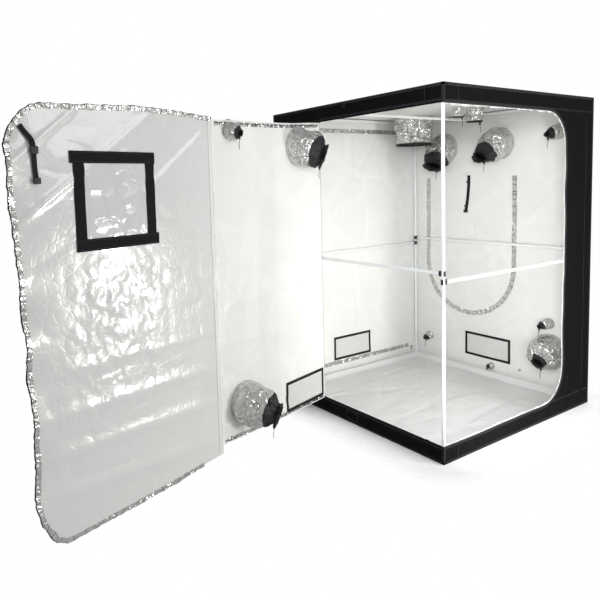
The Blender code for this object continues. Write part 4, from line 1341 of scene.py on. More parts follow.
SIDE_DRAPE = Hanging(
    0.9754, 21, 0.0035, high=(0.9754, 1.9), seam=0.32,
    folds=(
        Crease((0.1, 0.99), (0.8, 0.8), -0.004, 0.02),
        Crease((0.05, 0.3), (0.95, 0.34), -0.005, 0.03),
        Crease((0.05, 0.47), (0.95, 0.45), -0.004, 0.022),
        Crease((0.25, 0.02), (0.8, 0.22), 0.004, 0.018),
    ),
)  # fmt: skip
DOOR_DRAPE = Hanging(
    1.1, 22, 0.005, free_edge=0.012, seam=1.266, crumple=0.0052,
    folds=(
        Crease((0.02, 0.06), (0.99, 0.11), -0.006, 0.04),
        Crease((0.02, 0.18), (0.99, 0.2), -0.007, 0.034),
        Crease((0.02, 0.28), (0.99, 0.29), -0.006, 0.032),
        Crease((0.02, 0.38), (0.9, 0.39), -0.003, 0.03),
        Crease((0.35, 0.99), (0.98, 0.72), -0.006, 0.018),
        Crease((0.05, 0.97), (0.42, 0.8), 0.005, 0.018),
        Crease((0.7, 0.99), (0.99, 0.85), -0.006, 0.016),
    ),
)  # fmt: skip
RIGHT_CREASES = (
    Crease((0.1, 0.75), (0.55, 0.42), -0.004, 0.02),
    Crease((0.62, 0.5), (0.95, 0.2), -0.004, 0.018),
    Crease((0.5, 0.05), (0.85, 0.45), 0.003, 0.016),
)
BACK_CREASES = (
    Crease((0.3, 0.95), (0.75, 0.5), -0.005, 0.02),
    Crease((0.45, 0.1), (0.9, 0.4), -0.005, 0.022),
    Crease((0.65, 0.62), (0.98, 0.9), -0.004, 0.016),
    Crease((0.5, 0.02), (0.5, 0.98), -0.004, 0.014),
)


@dataclass
class Geometry:
    """The tent's main sizes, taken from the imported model, and its working faces.

    overlay is how far a flap's face lies outside its wall, and hinge_gap how far the wrap's does
    outside the line of its hinges.
    """

    half_width: float = field(init=False)
    half_depth: float = field(init=False)
    height: float = field(init=False)
    hinge_y: float = field(init=False)
    wall_top: float = 2.018
    wall_foot: float = 0.0018
    opening_foot: float = 0.1
    opening_head: float = 1.918
    doorway_edge: float = 0.418
    doorway_radius: float = 0.2
    overlay: float = 0.0018
    hinge_gap: float = 0.0008
    faces: dict[str, Face] = field(default_factory=dict)

    def __post_init__(self) -> None:
        """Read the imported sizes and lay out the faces."""
        w, d, self.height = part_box("roof")[1]
        self.half_width, self.half_depth = w, d
        hinge, fold = (
            np.array(next(j["pos_m"] for j in FRAME["joints"] if j["name"] == name))
            for name in ("side_panel_swing", "door_leaf_fold")
        )
        self.hinge_y = float(hinge[1])
        x, y, z = np.eye(3)
        span = ((-w, 0.0), (w, self.wall_top))
        edges = (self.opening_foot, self.opening_head)
        drapes = {
            "front": Panelling(*span, 11, bars=(0.99,)),
            "right": Panelling(*span, 12, bars=(1.03,), seams=(1.55, 0.32), creases=RIGHT_CREASES),
            "back": Panelling(*span, 13, bars=(0.99,), seams=(0.32, 0.07), creases=BACK_CREASES),
            "left": Panelling(*span, 14, bars=(1.03,), seams=edges, posts=(-self.hinge_y,)),
        }
        for across, (name, drape) in zip((x, y, -x, -y), drapes.items()):
            self.faces[name] = Face(np.cross(across, z) * (w, d, 0.0), across, z, drape)
        drape = Panelling((-w, -d), (w, d), 15, belly=0.003, bars=(0.15,))
        self.faces["roof"] = Face(z * self.height, x, y, drape)
        self.faces["floor"] = Face(np.zeros(3), x, -y, no_drape)
        along = (fold - hinge) / np.linalg.norm(fold - hinge)
        off = np.cross(along, z) * self.hinge_gap
        self.faces["side"] = Face(hinge * (1, 1, 0) + off, along, z, SIDE_DRAPE)
        self.faces["door"] = Face(fold * (1, 1, 0) + off, along, z, DOOR_DRAPE)
        self.faces["rear_door"] = self.faces["back"].shifted(self.overlay)
        self.faces["hatch"] = self.faces["right"].shifted(self.overlay)


@dataclass
class Steel:
    """The steel frame, the clips and the slider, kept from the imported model.

    radian is how many metres of the cloth coordinate go to a radian round a piece.
    """

    radian: float = 0.01

    def build(self) -> None:
        """Give every kept piece its finish."""
        steel = dict.fromkeys(("corner_joint", "pole", "_bar"), POWDER_COAT)
        kinds = {**steel, "mid_clip": ABS, "rear_zip_slider": ZINC}
        for name, piece in FRAME["nodes"].items():
            for key, finish in kinds.items():
                if key in name:
                    self.dress(piece, finish)
                    break

    def dress(self, piece: Object, finish: Finish) -> None:
        """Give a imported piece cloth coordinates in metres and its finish."""
        mesh = piece.data
        points = read(mesh.vertices, "co", 3)
        middle = (points.max(axis=0) + points.min(axis=0)) / 2
        long = int(np.argmax(np.ptp(points, axis=0)))
        others = [i for i in range(3) if i != long]
        around = np.arctan2(*(points[:, others] - middle[others]).T) * self.radian
        map_cloth(mesh, np.stack([points[:, long], around], axis=1))
        mesh.materials.clear()
        mesh.materials.append(finish.build())
        mesh.shade_smooth()
        mesh.set_sharp_from_angle(angle=SHARP)


@dataclass
class Cover:
    """The fixed cloth: surrounds, right and back walls, roof and floor.

    The tape that binds its edges is wide and thick, and lies clear of the cloth.
    """

    geometry: Geometry
    poles: tuple[str, ...] = ("back_left", "back_right", "front_right")
    wide: float = 0.013
    thick: float = 0.0009
    clear: float = 0.0002
    sleeves: tuple[Sleeve, ...] = (
        Sleeve(
            "right_sleeve_back", "frame", (0.42, 1.775), 0.118, 0.17, 0.15, 0.012, 31,
            squeeze=(1.35, 0.85),
        ),
        Sleeve(
            "right_sleeve_middle", "frame", (-0.07, 1.78), 0.118, 0.2, 0.105, 0.055, 32,
            squeeze=(1.35, 0.75),
        ),
        Sleeve(
            "right_sleeve_low", "frame", (-0.481, 0.3), 0.118, 0.2, 0.06, -0.005, 33,
            foil_share=0.82, mouth_share=0.3, squeeze=(0.9, 0.9),
        ),
        Sleeve("cable_top", "frame", (-0.518, 1.828), 0.055, 0.1, 0.02, 0.04, 34),
        Sleeve("cable_middle", "frame", (-0.466, 0.491), 0.04, 0.09, 0.02, 0.03, 35),
        Sleeve("cable_low", "frame", (0.585, 0.202), 0.036, 0.07, 0.02, 0.0, 36),
        Sleeve("drain_port", "frame", (-0.015, 0.076), 0.026, 0.04, 0.004, 0.02, 37, tail=0.031),
    )  # fmt: skip
    open_sleeves: tuple[tuple[str, Spot, float, float, int], ...] = (
        ("roof_sleeve_duct", (0.4262, 0.47), 0.149, 0.25, 41),
        ("roof_sleeve_fan", (0.4144, -0.0888), 0.058, 0.11, 42),
        ("cable_roof", (0.2516, -0.074), 0.04, 0.08, 43),
    )

    def build(self) -> None:
        """Build the fixed cloth and what is sewn on it."""
        g = self.geometry
        w, d, low, top = g.half_width, g.half_depth, g.wall_foot, g.wall_top
        foot, head, edge, r = g.opening_foot, g.opening_head, g.doorway_edge, g.doorway_radius
        upright = [
            (edge + 0.004 * math.sin(v * 8.0) + 0.003 * math.sin(v * 21.0), v)
            for v in np.linspace(head - r - 0.05, foot + r + 0.05, 28)
        ]
        doorway = [(-w, head), *arc((edge - r, head - r), r, 90, 0), *upright]
        doorway += [*arc((edge - r, foot + r), r, 0, -90), (-w, foot)]
        y, high = -g.hinge_y, top - low
        opening = [(w, head), (y, head), (y, foot), (w, foot)]
        wall = [(-w, low), (w, low), (w, top), (-w, top)]
        square = [(-w, -d), (w, -d), (w, d), (-w, d)]
        front_area = 2 * w * high - (edge + w) * (head - foot) + TWO_CORNERS * r * r
        left_area = 2 * d * high - (w - y) * (head - foot)
        poles = [f"corner_pole_{corner}" for corner in self.poles]
        for face, rest, outline, flat, area in (
            ("front", "_surround", wall + doorway, (2 * w, high), front_area),
            ("left", "_surround", wall[:2] + opening[::-1] + wall[2:], (2 * d, high), left_area),
            ("right", "_wall", wall, (2 * d, high), None),
            ("back", "_wall", wall, (2 * w, high), None),
            ("roof", "", square, (2 * w, 2 * d), None),
            ("floor", "", square, (2 * w, 2 * d), None),
        ):
            node, looks = f"{face}{rest}", {}
            if face == "floor":
                node, looks = "floor_sheet", {"cell": 0.03, "finishes": (OXFORD, VINYL)}
            made = cloth(f"{face}{rest}_cloth", g.faces[face], outline, **looks)
            hand_over(made, "frame", BLACK, node, flat, "stretched", *poles, area=area)
        for sleeve in self.sleeves:
            sleeve.build(g.faces["right"])
        for name, centre, radius, reach, seed in self.open_sleeves:
            sizes = (centre, radius, reach, 0.0, 0.0, seed, 0.9)
            sleeve = Sleeve(name, "frame", *sizes, mouth_share=0.8, open=True)
            sleeve.build(g.faces["roof"])
        flap = Ribbon(WHITE_FILM, 0.03, offset=0.008, wavy=0.006, crush=0.002, step=0.01)
        TEETH.add("frame", g.faces["front"], doorway, lift=0.0021)
        seam = [(-w, 1.55), (w, 1.55)]
        inner, outer = {"offset": -0.016, "wavy": 0.002}, {"offset": -0.016, "thick": 0.0009}
        narrow = Ribbon(WHITE_FILM, 0.012, thick=0.0006, wavy=0.0008)
        for name, face, path, ribbon in (
            ("doorway_zip_flap", "front", doorway, flap),
            ("doorway_zip_tape", "front", doorway, Ribbon(HEM, 0.016, 1, 0.0009, offset=0.009)),
            ("left_opening_flap", "left", opening, Ribbon(WHITE_FILM, 0.012, **inner)),
            ("left_opening_tape", "left", opening, Ribbon(HEM, 0.012, 1, **outer)),
            ("right_wall_seam", "right", seam, narrow),
            ("right_wall_seam_out", "right", seam, Ribbon(HEM, 0.02, 1, 0.0008, step=0.03)),
        ):
            ribbon.lay(name, "frame", g.faces[face], path)
        self.seams()
        self.bindings()

    def seams(self) -> None:
        """Sew the double seams above and below the walls."""
        g = self.geometry
        for face in ("front", "left", "right", "back"):
            start = g.doorway_edge - 0.15 if face == "front" else -g.half_width
            end = -g.hinge_y - 0.02 if face == "left" else g.half_width
            for level in (0.1, 0.106, 1.925, 1.931):
                STITCHES.add("frame", g.faces[face], [(start, level), (end, level)], ON_CLOTH)

    def bindings(self) -> None:
        """Bind the outer edges with black webbing."""
        g, wide, thick, clear = self.geometry, self.wide, self.thick, self.clear
        w, d, top = g.half_width, g.half_depth, g.height
        whole, split = ((0.0, top),), ((0.0, g.opening_foot), (g.opening_head, top))
        corners = [(-w, -d), (w, -d), (w, d), (-w, d)]
        for i, (first, last) in enumerate(zip(corners, corners[1:] + corners[:1])):
            start, end = np.array((*first, 0.0)), np.array((*last, 0.0))
            out = np.cross(end - start, (0, 0, 1)) / np.linalg.norm(end - start)
            for label, level, way in (("high", top, 1.0), ("low", 0.0, -1.0)):
                z, base = np.array((0.0, 0.0, way)), np.array((0.0, 0.0, level))
                angle = (
                    out * -wide + z * thick, out * thick + z * thick, out * thick - z * wide,
                    out * clear - z * wide, out * clear + z * clear, out * -wide + z * clear,
                )  # fmt: skip
                self.bind(f"edge_binding_{i}_{label}", angle, base + start, base + end, 30)
            sides = np.array((*np.sign(first), 0.0))
            angle = sides * (
                (w - wide, d + thick, 0), (w + thick, d + thick, 0), (w + thick, d - wide, 0),
                (w, d - wide, 0), (w, d, 0), (w - wide, d, 0),
            )  # fmt: skip
            for k, (foot, head) in enumerate(split if i == 0 else whole):
                ends = np.outer((foot, head), (0, 0, 1.0))
                self.bind(f"corner_binding_{i}_{k}", angle, *ends, 24)

    def bind(self, name: str, angle: Array, start: Array, end: Array, count: int) -> None:
        """One edge's binding, an angle of tape over both faces."""
        shares = np.linspace(0, 1, count)
        rings = np.array([[start + (end - start) * s + p for p in angle] for s in shares])
        ride(lofted(name, rings, (HEM,)), "frame", HEM.slot)


@dataclass
class Wrap:
    """The swung out wrap: side panel, door leaf with its window, their zips and sleeves.

    Both outlines droop, as cloth does that hangs from its hinged edge.  window_sides is where the
    window's bands end, and its hole lies between hole_low and hole_high.
    """

    geometry: Geometry
    flap: Ribbon = Ribbon(
        FOIL, 0.02, offset=0.004, thick=0.0006, wavy=0.003, crush=0.0035, step=0.006, lift=0.0012
    )
    side_outline: Path = (
        (0.0, 0.094), (0.45, 0.097), (0.8, 0.106), (0.972, 0.115), (0.972, 1.876), (0.8, 1.884),
        (0.55, 1.886), (0.3, 1.895), (0.12, 1.908), (0.0, 1.914),
    )  # fmt: skip
    door_outline: Path = (
        (0.0, 0.1), (0.0, 0.068), (0.15, 0.06), (0.35, 0.046), (0.6, 0.038), (0.8, 0.034),
        (0.9, 0.031), (0.955, 0.032), (1.0, 0.06), (1.03, 0.107), (1.062, 0.17), (1.083, 0.25),
        (1.072, 0.32), (1.066, 0.39), (1.068, 0.5), (1.067, 0.59), (1.073, 0.7), (1.075, 0.78),
        (1.075, 0.88), (1.077, 0.99), (1.086, 1.1), (1.09, 1.22), (1.094, 1.33), (1.097, 1.43),
        (1.107, 1.54), (1.113, 1.64), (1.109, 1.71), (1.085, 1.78), (1.045, 1.835),
        (0.995, 1.868), (0.94, 1.877), (0.85, 1.879), (0.73, 1.885), (0.5, 1.898), (0.3, 1.896),
        (0.12, 1.886), (0.0, 1.877),
    )  # fmt: skip
    window_sides: Spot = (0.385, 0.844)
    hole_low: Spot = (0.45, 1.32)
    hole_high: Spot = (0.777, 1.644)
    hem_at: float = 0.02
    fold_at: float = 0.9754
    band: float = 0.052
    strap_path: Path = (
        (1.05, 1.79), (1.034, 1.768), (1.01, 1.738), (1.002, 1.68), (1.0, 1.616), (0.996, 1.563),
    )  # fmt: skip
    sleeves: tuple[Sleeve, ...] = (
        Sleeve(
            "side_sleeve_upper", "side_panel", (0.24, 1.753), 0.118, 0.2, 0.06, -0.03, 51,
            squeeze=(0.55, 1.05),
        ),
        Sleeve(
            "side_sleeve_lower", "side_panel", (0.785, 0.303), 0.122, 0.225, 0.05, -0.06, 52,
            squeeze=(0.75, 1.0),
        ),
        Sleeve("cable_side", "side_panel", (0.845, 1.82), 0.05, 0.08, 0.014, -0.02, 53),
    )  # fmt: skip

    def build(self) -> None:
        """Build the wrap."""
        self.side()
        self.door()
        self.window()

    def side(self) -> None:
        """The side panel with its sleeves and zips."""
        face = self.geometry.faces["side"]
        made = cloth("side_panel_cloth", face, self.side_outline, cell=0.012)
        hand_over(
            made, "side_panel", WHITE, "side_panel", (0.972, 1.82), "hung",
            "left_surround_cloth", area=polygon_area(self.side_outline),
        )  # fmt: skip
        for sleeve in self.sleeves:
            sleeve.build(face)
        for name, path in {
            "side_foot": [(0.02, 0.108), (0.45, 0.111), (0.8, 0.12), (0.955, 0.128)],
            "side_head": [(0.955, 1.862), (0.55, 1.871), (0.3, 1.88), (0.02, 1.898)],
        }.items():
            self.flap.lay(f"{name}_zip_flap", "side_panel", face, path)
            TEETH.add("side_panel", face, path, lift=-0.003)
            Ribbon(HEM, 0.03, side=1).lay(f"{name}_hem", "side_panel", face, path)
            STITCHES.add("side_panel", face, path, lift=0.0017)

    def door(self) -> None:
        """The door leaf, cut to its drooped outline, with the zip flap round its free edges."""
        face, side = self.geometry.faces["door"], self.geometry.faces["side"]
        hole = rounded(self.hole_low, self.hole_high)
        # Its inner film is the darker copy of the walls' film, painted shade for the leaf's dimmer
        # light
        made = cloth(
            "door_leaf_cloth", face, self.door_outline, (hole,), 0.0085,
            finishes=(OXFORD, SHADED_CREASED_FILM),
        )  # fmt: skip
        hand_over(
            made, "door_leaf", WHITE, "door_leaf", (1.113, 1.867), "hung",
            "side_panel_cloth", area=polygon_area(self.door_outline) - polygon_area(hole),
        )  # fmt: skip
        rim = self.door_outline[2:]
        self.flap.lay("door_zip_flap", "door_leaf", face, [*rim[:-1], (0.012, 1.88)])
        hem = Ribbon(HEM, 0.02, side=1, offset=0.001, wavy=0.004, step=0.006)
        hem.lay("door_hem", "door_leaf", face, rim)
        TEETH.add("door_leaf", face, rim, lift=0.0024)
        seam = Ribbon(WHITE_FILM, 0.022, thick=0.001, crush=0.0008, wavy=0.001)
        seam.lay("fold_seam", "door_leaf", face, [(self.hem_at, 0.08), (self.hem_at, 1.87)])
        for label, way, finish in (("in", -1, WHITE_FILM), ("out", 1, OXFORD)):
            band = Ribbon(finish, 0.034, side=way, columns=9, lift=0.0006, thick=0.0007)
            path = [(self.fold_at, 0.118), (self.fold_at, 1.868)]
            made = band.lay(f"fold_band_{label}", None, side, path)
            ends = (side.point(u, 1.0).tolist() for u in (0.966, 0.985))
            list(ends)
            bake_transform(made)
        for u in (0.012, 0.028):
            STITCHES.add("door_leaf", face, [(u, 0.09), (u, 1.86)], lift=-0.0034)
        band = Ribbon(HEM, 0.04, side=1, step=0.02)
        band.lay("fold_hem", "door_leaf", face, [(0.024, 0.08), (0.024, 1.87)])

    def window(self) -> None:
        """The window: clear film, its four black bands, the strap and the flap outside."""
        face = self.geometry.faces["door"]
        (u0, u1), (a0, b0), (a1, b1) = self.window_sides, self.hole_low, self.hole_high
        film = cloth(
            "door_window_film", face, rounded((a0 - 0.02, b0 - 0.02), (a1 + 0.02, b1 + 0.02)),
            cell=0.011, thick=0.0005, lift=-0.0016, finishes=(CLEAR_FILM, CLEAR_FILM),
        )  # fmt: skip
        hand_over(
            film, "door_leaf", FILM, "door_window", (a1 - a0 + 0.04, b1 - b0 + 0.04),
            "stretched", "door_leaf_cloth",
        )  # fmt: skip
        for side, label, low, thick in ((-1, "in", 0.0014, 0.0016), (1, "out", 0.0002, 0.0008)):
            over = low + thick + 0.0002
            for name, lift, path in (
                ("left", low, [(0.424, b0 - 0.01), (0.424, b1 + 0.01)]),
                ("right", low, [(0.803, b0 - 0.01), (0.803, b1 + 0.01)]),
                ("low", over, [(u0, 1.292), (0.83, 1.292)]),
                ("high", over, [(u0 + 0.01, 1.67), (u1, 1.67)]),
            ):
                tape = Ribbon(HOOK_TAPE, self.band, side=side, lift=lift, thick=thick)
                tape.lay(f"window_band_{name}_{label}", "door_leaf", face, path)
        for lift, v in itertools.product((0.0024, -0.0064), (1.272, 1.312, 1.65, 1.69)):
            STITCHES.add("door_leaf", face, [(u0 + 0.012, v), (0.828, v)], lift)
        strap = Ribbon(HEM, 0.022, lift=0.004, thick=0.0016, crush=0.001, seed=4)
        strap.lay(
            "door_strap", "door_leaf", face, self.strap_path,
            rise=lambda share: 0.006 * np.sin(share * 4) ** 2,
        )  # fmt: skip
        buckles = ((1.002, 1.694, 0.034, 0.03), (0.997, 1.572, 0.03, 0.026))
        for i, (u, v, *size) in enumerate(buckles):
            spot = (u, v, -0.013)
            block(f"door_strap_buckle_{i}", "door_leaf", face, spot, (*size, 0.007), ABS)
        flap = cloth(
            "window_cover_cloth", face, rounded((0.388, 0.848), (0.842, 1.262), (0.02, 0.02, 0, 0)),
            cell=0.014, lift=0.0015, finishes=(OXFORD, HOOK_TAPE),
        )  # fmt: skip
        size = (0.454, 0.414)
        hand_over(flap, "window_cover", BLACK, "window_cover", size, "hung", "door_leaf_cloth")


@dataclass
class Fittings:
    """The rear door, the hatch, the vents, the tray, the small strap and ports, and seams."""

    geometry: Geometry

    def build(self) -> None:
        """Build every fitting."""
        self.rear_door()
        self.hatch()
        self.vents()
        self.tray()
        self.straps()
        self.ports()
        self.corners()

    def rear_door(self) -> None:
        """The rear door outside the back wall, and the zips that show inside."""
        face, plan = self.geometry.faces["back"], self.geometry.faces["rear_door"]
        radius = 0.16
        outline = rounded((-0.689, 0.094), (0.526, 1.921), (0, radius, radius, 0))
        made = cloth("rear_door_cloth", plan, outline, cell=0.02)
        hand_over(
            made, "rear_door", BLACK, "rear_door", (1.215, 1.827), "stretched",
            "back_wall_cloth", area=1.215 * 1.827 - TWO_CORNERS * radius * radius,
        )  # fmt: skip
        path = [(-0.64, 0.1), (0.38, 0.1), *arc((0.38, 0.24), 0.14, -90, 0)]
        path += [*arc((0.38, 1.785), 0.14, 0, 90), (-0.64, 1.925)]
        flap = Ribbon(FOIL, 0.032, thick=0.0006, wavy=0.002, crush=0.0016, step=0.007)
        flap.lay("rear_door_zip_flap", "frame", face, path)
        tape = Ribbon(HEM, 0.03, side=1, thick=0.0008)
        tape.lay("rear_door_zip_tape", "rear_door", plan, path)
        storm = Ribbon(OXFORD, 0.05, side=1, lift=0.0014, offset=0.01, wavy=0.001)
        storm.lay("rear_door_storm_flap", "rear_door", plan, path)
        TEETH.add("rear_door", plan, path, lift=0.0016)

    def hatch(self) -> None:
        """The arched hatch in the right wall, closed."""
        face, plan = self.geometry.faces["right"], self.geometry.faces["hatch"]
        middle, radius, top, foot, inset = 0.2, 0.405, 1.549, 0.45, 0.012
        centre = (middle, foot + radius)
        bowl = arc(centre, radius, 180, 360, 40)
        outline = [*bowl, (middle + radius, top), (middle - radius, top)]
        made = cloth("hatch_flap_cloth", plan, outline, cell=0.018)
        hand_over(
            made, "hatch_flap", BLACK, "hatch_flap", (2 * radius, top - foot), "stretched",
            "right_wall_cloth", area=polygon_area(outline),
        )  # fmt: skip
        path = [(middle - radius + inset, top - 0.01), *arc(centre, radius - inset, 180, 360, 40)]
        path.append((middle + radius - inset, top - 0.01))
        flap = Ribbon(FOIL, 0.036, thick=0.0006, wavy=0.003, crush=0.0018, step=0.007, seed=8)
        flap.lay("hatch_zip_flap", "frame", face, path)
        storm = Ribbon(OXFORD, 0.045, side=1, lift=0.0014, wavy=0.001)
        storm.lay("hatch_storm_flap", "hatch_flap", plan, path)
        TEETH.add("hatch_flap", plan, path, lift=0.0016)

    def vents(self) -> None:
        """The three low vents."""
        faces = self.geometry.faces
        for name, body, low, high, key, cover, wall in (
            ("side_vent", "side_panel", (0.017, 0.117), (0.413, 0.305), "side", "side",
             "side_panel"),
            ("right_vent", "frame", (-0.17, 0.122), (0.226, 0.308), "right", "right", "right_wall"),
            ("rear_vent", "rear_door", (-0.183, 0.122), (0.213, 0.308), "back", "rear_door",
             "rear_door"),
        ):  # fmt: skip
            Vent(name, body, low, high, f"{wall}_cloth").build(faces[key], faces[cover])

    def tray(self) -> None:
        """The spill tray: a flexible sheet with a raised lip."""
        noise = LatticeNoise(61)
        half, lip, count = 0.698, 0.034, 90
        grid = np.meshgrid(*[np.linspace(-half, half, count)] * 2)
        x, y = (part.ravel() for part in grid)
        z = 0.0026 + 0.0022 * (1 + noise.flat(x, y, 0.2)) + 0.001 * (1 + noise.flat(x, y, 0.07))
        rise = np.clip((np.maximum(np.abs(x), np.abs(y)) - half + 0.024) / 0.02, 0, 1)
        z += rise * rise * (3 - 2 * rise) * lip
        x = np.where(rise > 0, x * (1 - 0.004 * (1 - rise)), x)
        outer, inner = np.stack([x, y, z - 0.0008], axis=1), np.stack([x, y, z], axis=1)
        rows, columns = np.meshgrid(np.arange(count - 1), np.arange(count - 1), indexing="ij")
        first = (rows * count + columns).ravel()
        quads = np.stack([first, first + count, first + count + 1, first + 1], axis=1)
        made = shell("spill_tray_sheet", outer, inner, quads, (VINYL, VINYL), np.stack([x, y], 1))
        flat = (2 * half + 0.04, 2 * half + 0.04)
        hand_over(made, "spill_tray", TRAY, "spill_tray", flat, "laid", "floor_cloth")

    def straps(self) -> None:
        """The tie strap on the right wall, with its toggles."""
        face = self.geometry.faces["right"]
        strap = Ribbon(HEM, 0.026, lift=0.0008, thick=0.0016, seed=5)
        path = [(0.197, 1.552), (0.2, 1.46), (0.21, 1.36), (0.226, 1.263)]
        strap.lay("right_wall_strap", "frame", face, path)
        for i, (u, v, wide, tall) in enumerate(
            ((0.199, 1.5, 0.034, 0.016), (0.224, 1.272, 0.036, 0.024), (0.219, 1.31, 0.034, 0.012))
        ):
            spot = (u, v, -0.0068)
            block(f"right_wall_toggle_{i}", "frame", face, spot, (wide, tall, 0.006), ABS)

    def ports(self) -> None:
        """The port in the left sill, the eyelets and the tray's clips."""
        left, right = self.geometry.faces["left"], self.geometry.faces["right"]
        outline = rounded((-0.025, 0.022), (0.08, 0.074), (0.02,) * 4)
        patch = cloth(
            "sill_port_flap", left, outline, cell=0.008, lift=0.0017, thick=0.0009,
            finishes=(OXFORD, OXFORD),
        )  # fmt: skip
        hand_over(
            patch, "frame", BLACK, None, (0.105, 0.052), "stretched", "left_surround_cloth",
            area=polygon_area(outline),
        )  # fmt: skip
        rim = Ribbon(HEM, 0.007, side=1, lift=0.0018, thick=0.0014, step=0.006)
        rim.lay("sill_port_rim", "frame", left, outline, closed=True)
        around = rounded((-0.03, 0.017), (0.085, 0.079), (0.024,) * 4)
        STITCHES.add("frame", left, around, ON_CLOTH, closed=True)
        for name, face, centre, lift in (
            ("left_header", left, (-0.001, 1.991), 0.0014),
            ("right_foot", right, (-0.247, 0.097), -0.0026),
        ):
            u, v = np.array(arc(centre, 0.007, 0, 360, 24)[:-1]).T
            hoop = tube(f"{name}_eyelet", face.place(u, v, lift), 0.0022, ABS, closed=True)
            ride(hoop, "frame", ABS.slot)
        for i, u in enumerate((-0.15, 0.217)):
            for part, v, depth, size in (
                ("plate", 0.046, -0.0042, (0.016, 0.03, 0.003)),
                ("hook", 0.034, -0.0105, (0.014, 0.004, 0.012)),
            ):
                block(f"tray_clip_{i}_{part}", "frame", right, (u, v, depth), size, WHITE_ABS)

    def corners(self) -> None:
        """Seams where the surrounds' corners are cut and joined."""
        w, faces = self.geometry.half_width, self.geometry.faces
        level = [[(-w, 0.012), (w, 0.012)], [(-w, 2.006), (w, 2.006)]]
        lines = {
            "front": [
                [(0.46, 0.24), (w, 0.02)], [(0.46, 1.78), (w, 2.0)], [(-0.62, 0.004), (-0.62, 0.1)],
                [(-0.62, 1.918), (-0.62, 2.016)], [(0.655, 0.12), (0.655, 1.9)], *level,
            ],
            "left": [
                [(0.62, 0.004), (0.62, 0.1)], [(0.62, 1.918), (0.62, 2.016)], *level,
                [(-0.26, 0.12), (-0.26, 1.9)],
            ],
            "right": level,
            "back": level,
        }  # fmt: skip
        band = Ribbon(OXFORD, 0.016, side=1, thick=0.0007, lift=0.0001)
        for key, paths in lines.items():
            for i, path in enumerate(paths):
                STITCHES.add("frame", faces[key], path, ON_CLOTH)
                if path not in level:
                    moved = [(min(u + 0.01, w - 0.009), v + 0.004) for u, v in path]
                    band.lay(f"{key}_corner_seam_{i}", "frame", faces[key], moved)


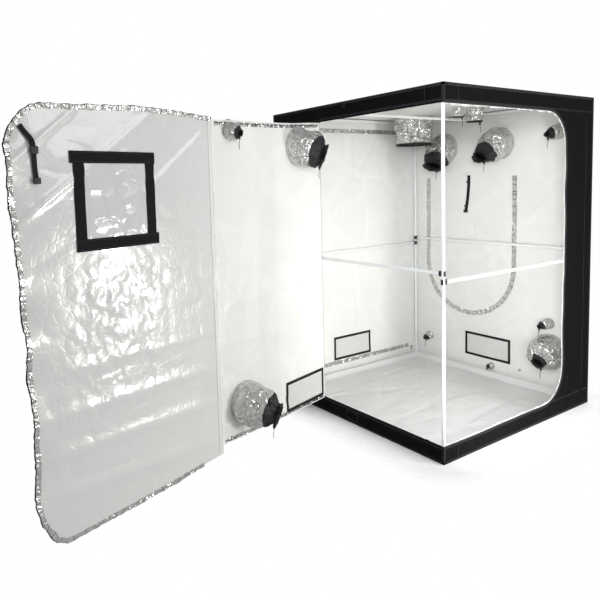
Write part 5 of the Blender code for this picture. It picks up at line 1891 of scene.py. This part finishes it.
@dataclass
class Studio:
    """The white studio: floor, plain background, soft lights and the camera.

    focal_pixels and centre are the photograph's, in its own size; place is the camera's, in
    metres, and yaw, pitch and roll are in degrees.
    """

    focal_pixels: float = 587.2
    centre: Spot = (255.7, 239.2)
    place: tuple[float, float, float] = (-3.224, -2.722, 1.528)
    yaw: float = 33.59
    pitch: float = -5.26
    roll: float = -1.8
    size: int = 600
    sensor: float = 36.0
    floor_reach: float = 14.0
    floor_level: float = -0.002

    def build(self) -> None:
        """Set up everything round the tent."""
        self.floor()
        self.world()
        self.lights()
        self.camera()
        bpy.context.scene.view_settings.view_transform = "Standard"

    def floor(self) -> None:
        """A pale floor that fades out round the tent."""
        corners = rounded((-self.floor_reach,) * 2, (self.floor_reach,) * 2)
        points = np.array([(*corner, self.floor_level) for corner in corners])
        place = points @ ((1.0, 0.0), (0.7, 0.3), (0.0, 1.0))
        made = mesh_object("studio_floor", points, [range(4)], (STUDIO_FLOOR,), [0], place)
        tree = STUDIO_FLOOR.build().node_tree
        spot = add_node(tree, "ShaderNodeTexCoord").outputs["Object"]
        for operation, other in (
            ("ABSOLUTE", (0, 0, 0)), ("SUBTRACT", (0.7, 0.7, 1.0)), ("MAXIMUM", (0, 0, 0)),
        ):  # fmt: skip
            spot = shader(tree, "VectorMath", {0: spot, 1: other}, operation=operation)
        far = add_node(tree, "ShaderNodeVectorMath", {0: spot}, operation="LENGTH")
        slope = {"Value": far.outputs["Value"], 1: 0.0, 2: 0.34, 3: 1.0, 4: 0.0}
        fade = shader(tree, "MapRange", slope, interpolation_type="SMOOTHSTEP")
        tree.links.new(fade, tree.nodes["Principled BSDF"].inputs["Alpha"])

    def world(self) -> None:
        """A white background to the camera and a soft dim one to everything else."""
        world = bpy.data.worlds.new("studio")
        world.use_nodes = True
        tree = world.node_tree
        tree.nodes.clear()
        seen = add_node(tree, "ShaderNodeLightPath").outputs
        sees = reckon(tree, "MAXIMUM", seen["Is Camera Ray"], seen["Is Transmission Ray"])
        strength = reckon(tree, "MULTIPLY_ADD", sees, 0.52, 0.48)
        shade = shader(tree, "Background", {"Color": (1, 1, 1, 1), "Strength": strength})
        add_node(tree, "ShaderNodeOutputWorld", {"Surface": shade})
        bpy.context.scene.world = world

    def lights(self) -> None:
        """Large soft lamps in front, behind and beside, and three small ones at the open corner."""
        cool, even, warm = (0.96, 0.98, 1.0), (1.0, 1.0, 1.0), (1.0, 0.975, 0.94)
        for name, place, target, size, power, spread, colour in (
            ("key", (1.4, -4.2, 3.3), (-0.6, 0.0, 0.8), (2.6, 2.6), 72.0, 180, even),
            ("column", (0.4, -2.4, 0.5), (-2.28, -0.18, 0.6), (0.36, 0.85), 42.0, 180, warm),
            ("inside", (-0.5, -1.2, 0.5), (0.74, -0.05, 0.6), (0.9, 0.5), 10.0, 170, even),
            ("high", (-2.2, -2.2, 2.0), (0.74, 0.1, 1.6), (1.0, 0.6), 11.0, 76, cool),
            ("behind", (1.6, 4.6, 2.8), (-0.4, 0.0, 1.0), (2.6, 2.6), 75.0, 180, even),
            ("beside", (4.6, 0.6, 2.4), (0.2, 0.0, 1.0), (2.0, 2.0), 40.0, 180, even),
        ):
            data = bpy.data.lights.new(name, "AREA")
            data.spread = math.radians(spread)
            data.color = colour
            data.shape = "RECTANGLE"
            data.size, data.size_y = size
            data.energy = power
            lamp = link(name, data)
            lamp.location = place
            way = Vector(target) - Vector(place)
            lamp.rotation_euler = way.to_track_quat("-Z", "Y").to_euler()
            lamp.visible_camera = False

    def camera(self) -> None:
        """The photograph's own view."""
        yaw, pitch, roll = (math.radians(a) for a in (self.yaw, self.pitch, self.roll))
        level = math.cos(pitch)
        ahead = Vector((math.sin(yaw) * level, math.cos(yaw) * level, math.sin(pitch)))
        right = Vector((math.cos(yaw), -math.sin(yaw), 0.0))
        up = right.cross(ahead)
        right, up = (
            right * math.cos(roll) + up * math.sin(roll),
            up * math.cos(roll) - right * math.sin(roll),
        )
        data = bpy.data.cameras.new("camera")
        data.sensor_width = self.sensor
        data.lens = self.focal_pixels * self.sensor / self.size
        data.shift_x = (self.size / 2 - self.centre[0]) / self.size
        data.shift_y = (self.centre[1] - self.size / 2) / self.size
        made = link("camera", data)
        turn = Matrix((right, up, -ahead)).transposed().to_4x4()
        made.matrix_world = Matrix.Translation(Vector(self.place)) @ turn
        bpy.context.scene.camera = made


def main() -> None:
    """Build the tent and its studio."""
    logging.basicConfig(level=logging.INFO, format="%(name)s: %(message)s")
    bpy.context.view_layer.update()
    geometry = Geometry()
    for part in (Steel(), Cover(geometry), Wrap(geometry), Fittings(geometry), Studio()):
        part.build()
        LOG.info("built %s", type(part).__name__)
    for rows in (STITCHES, TEETH, NET_WIRES):
        rows.grow()


if __name__ == "__main__":
    main()
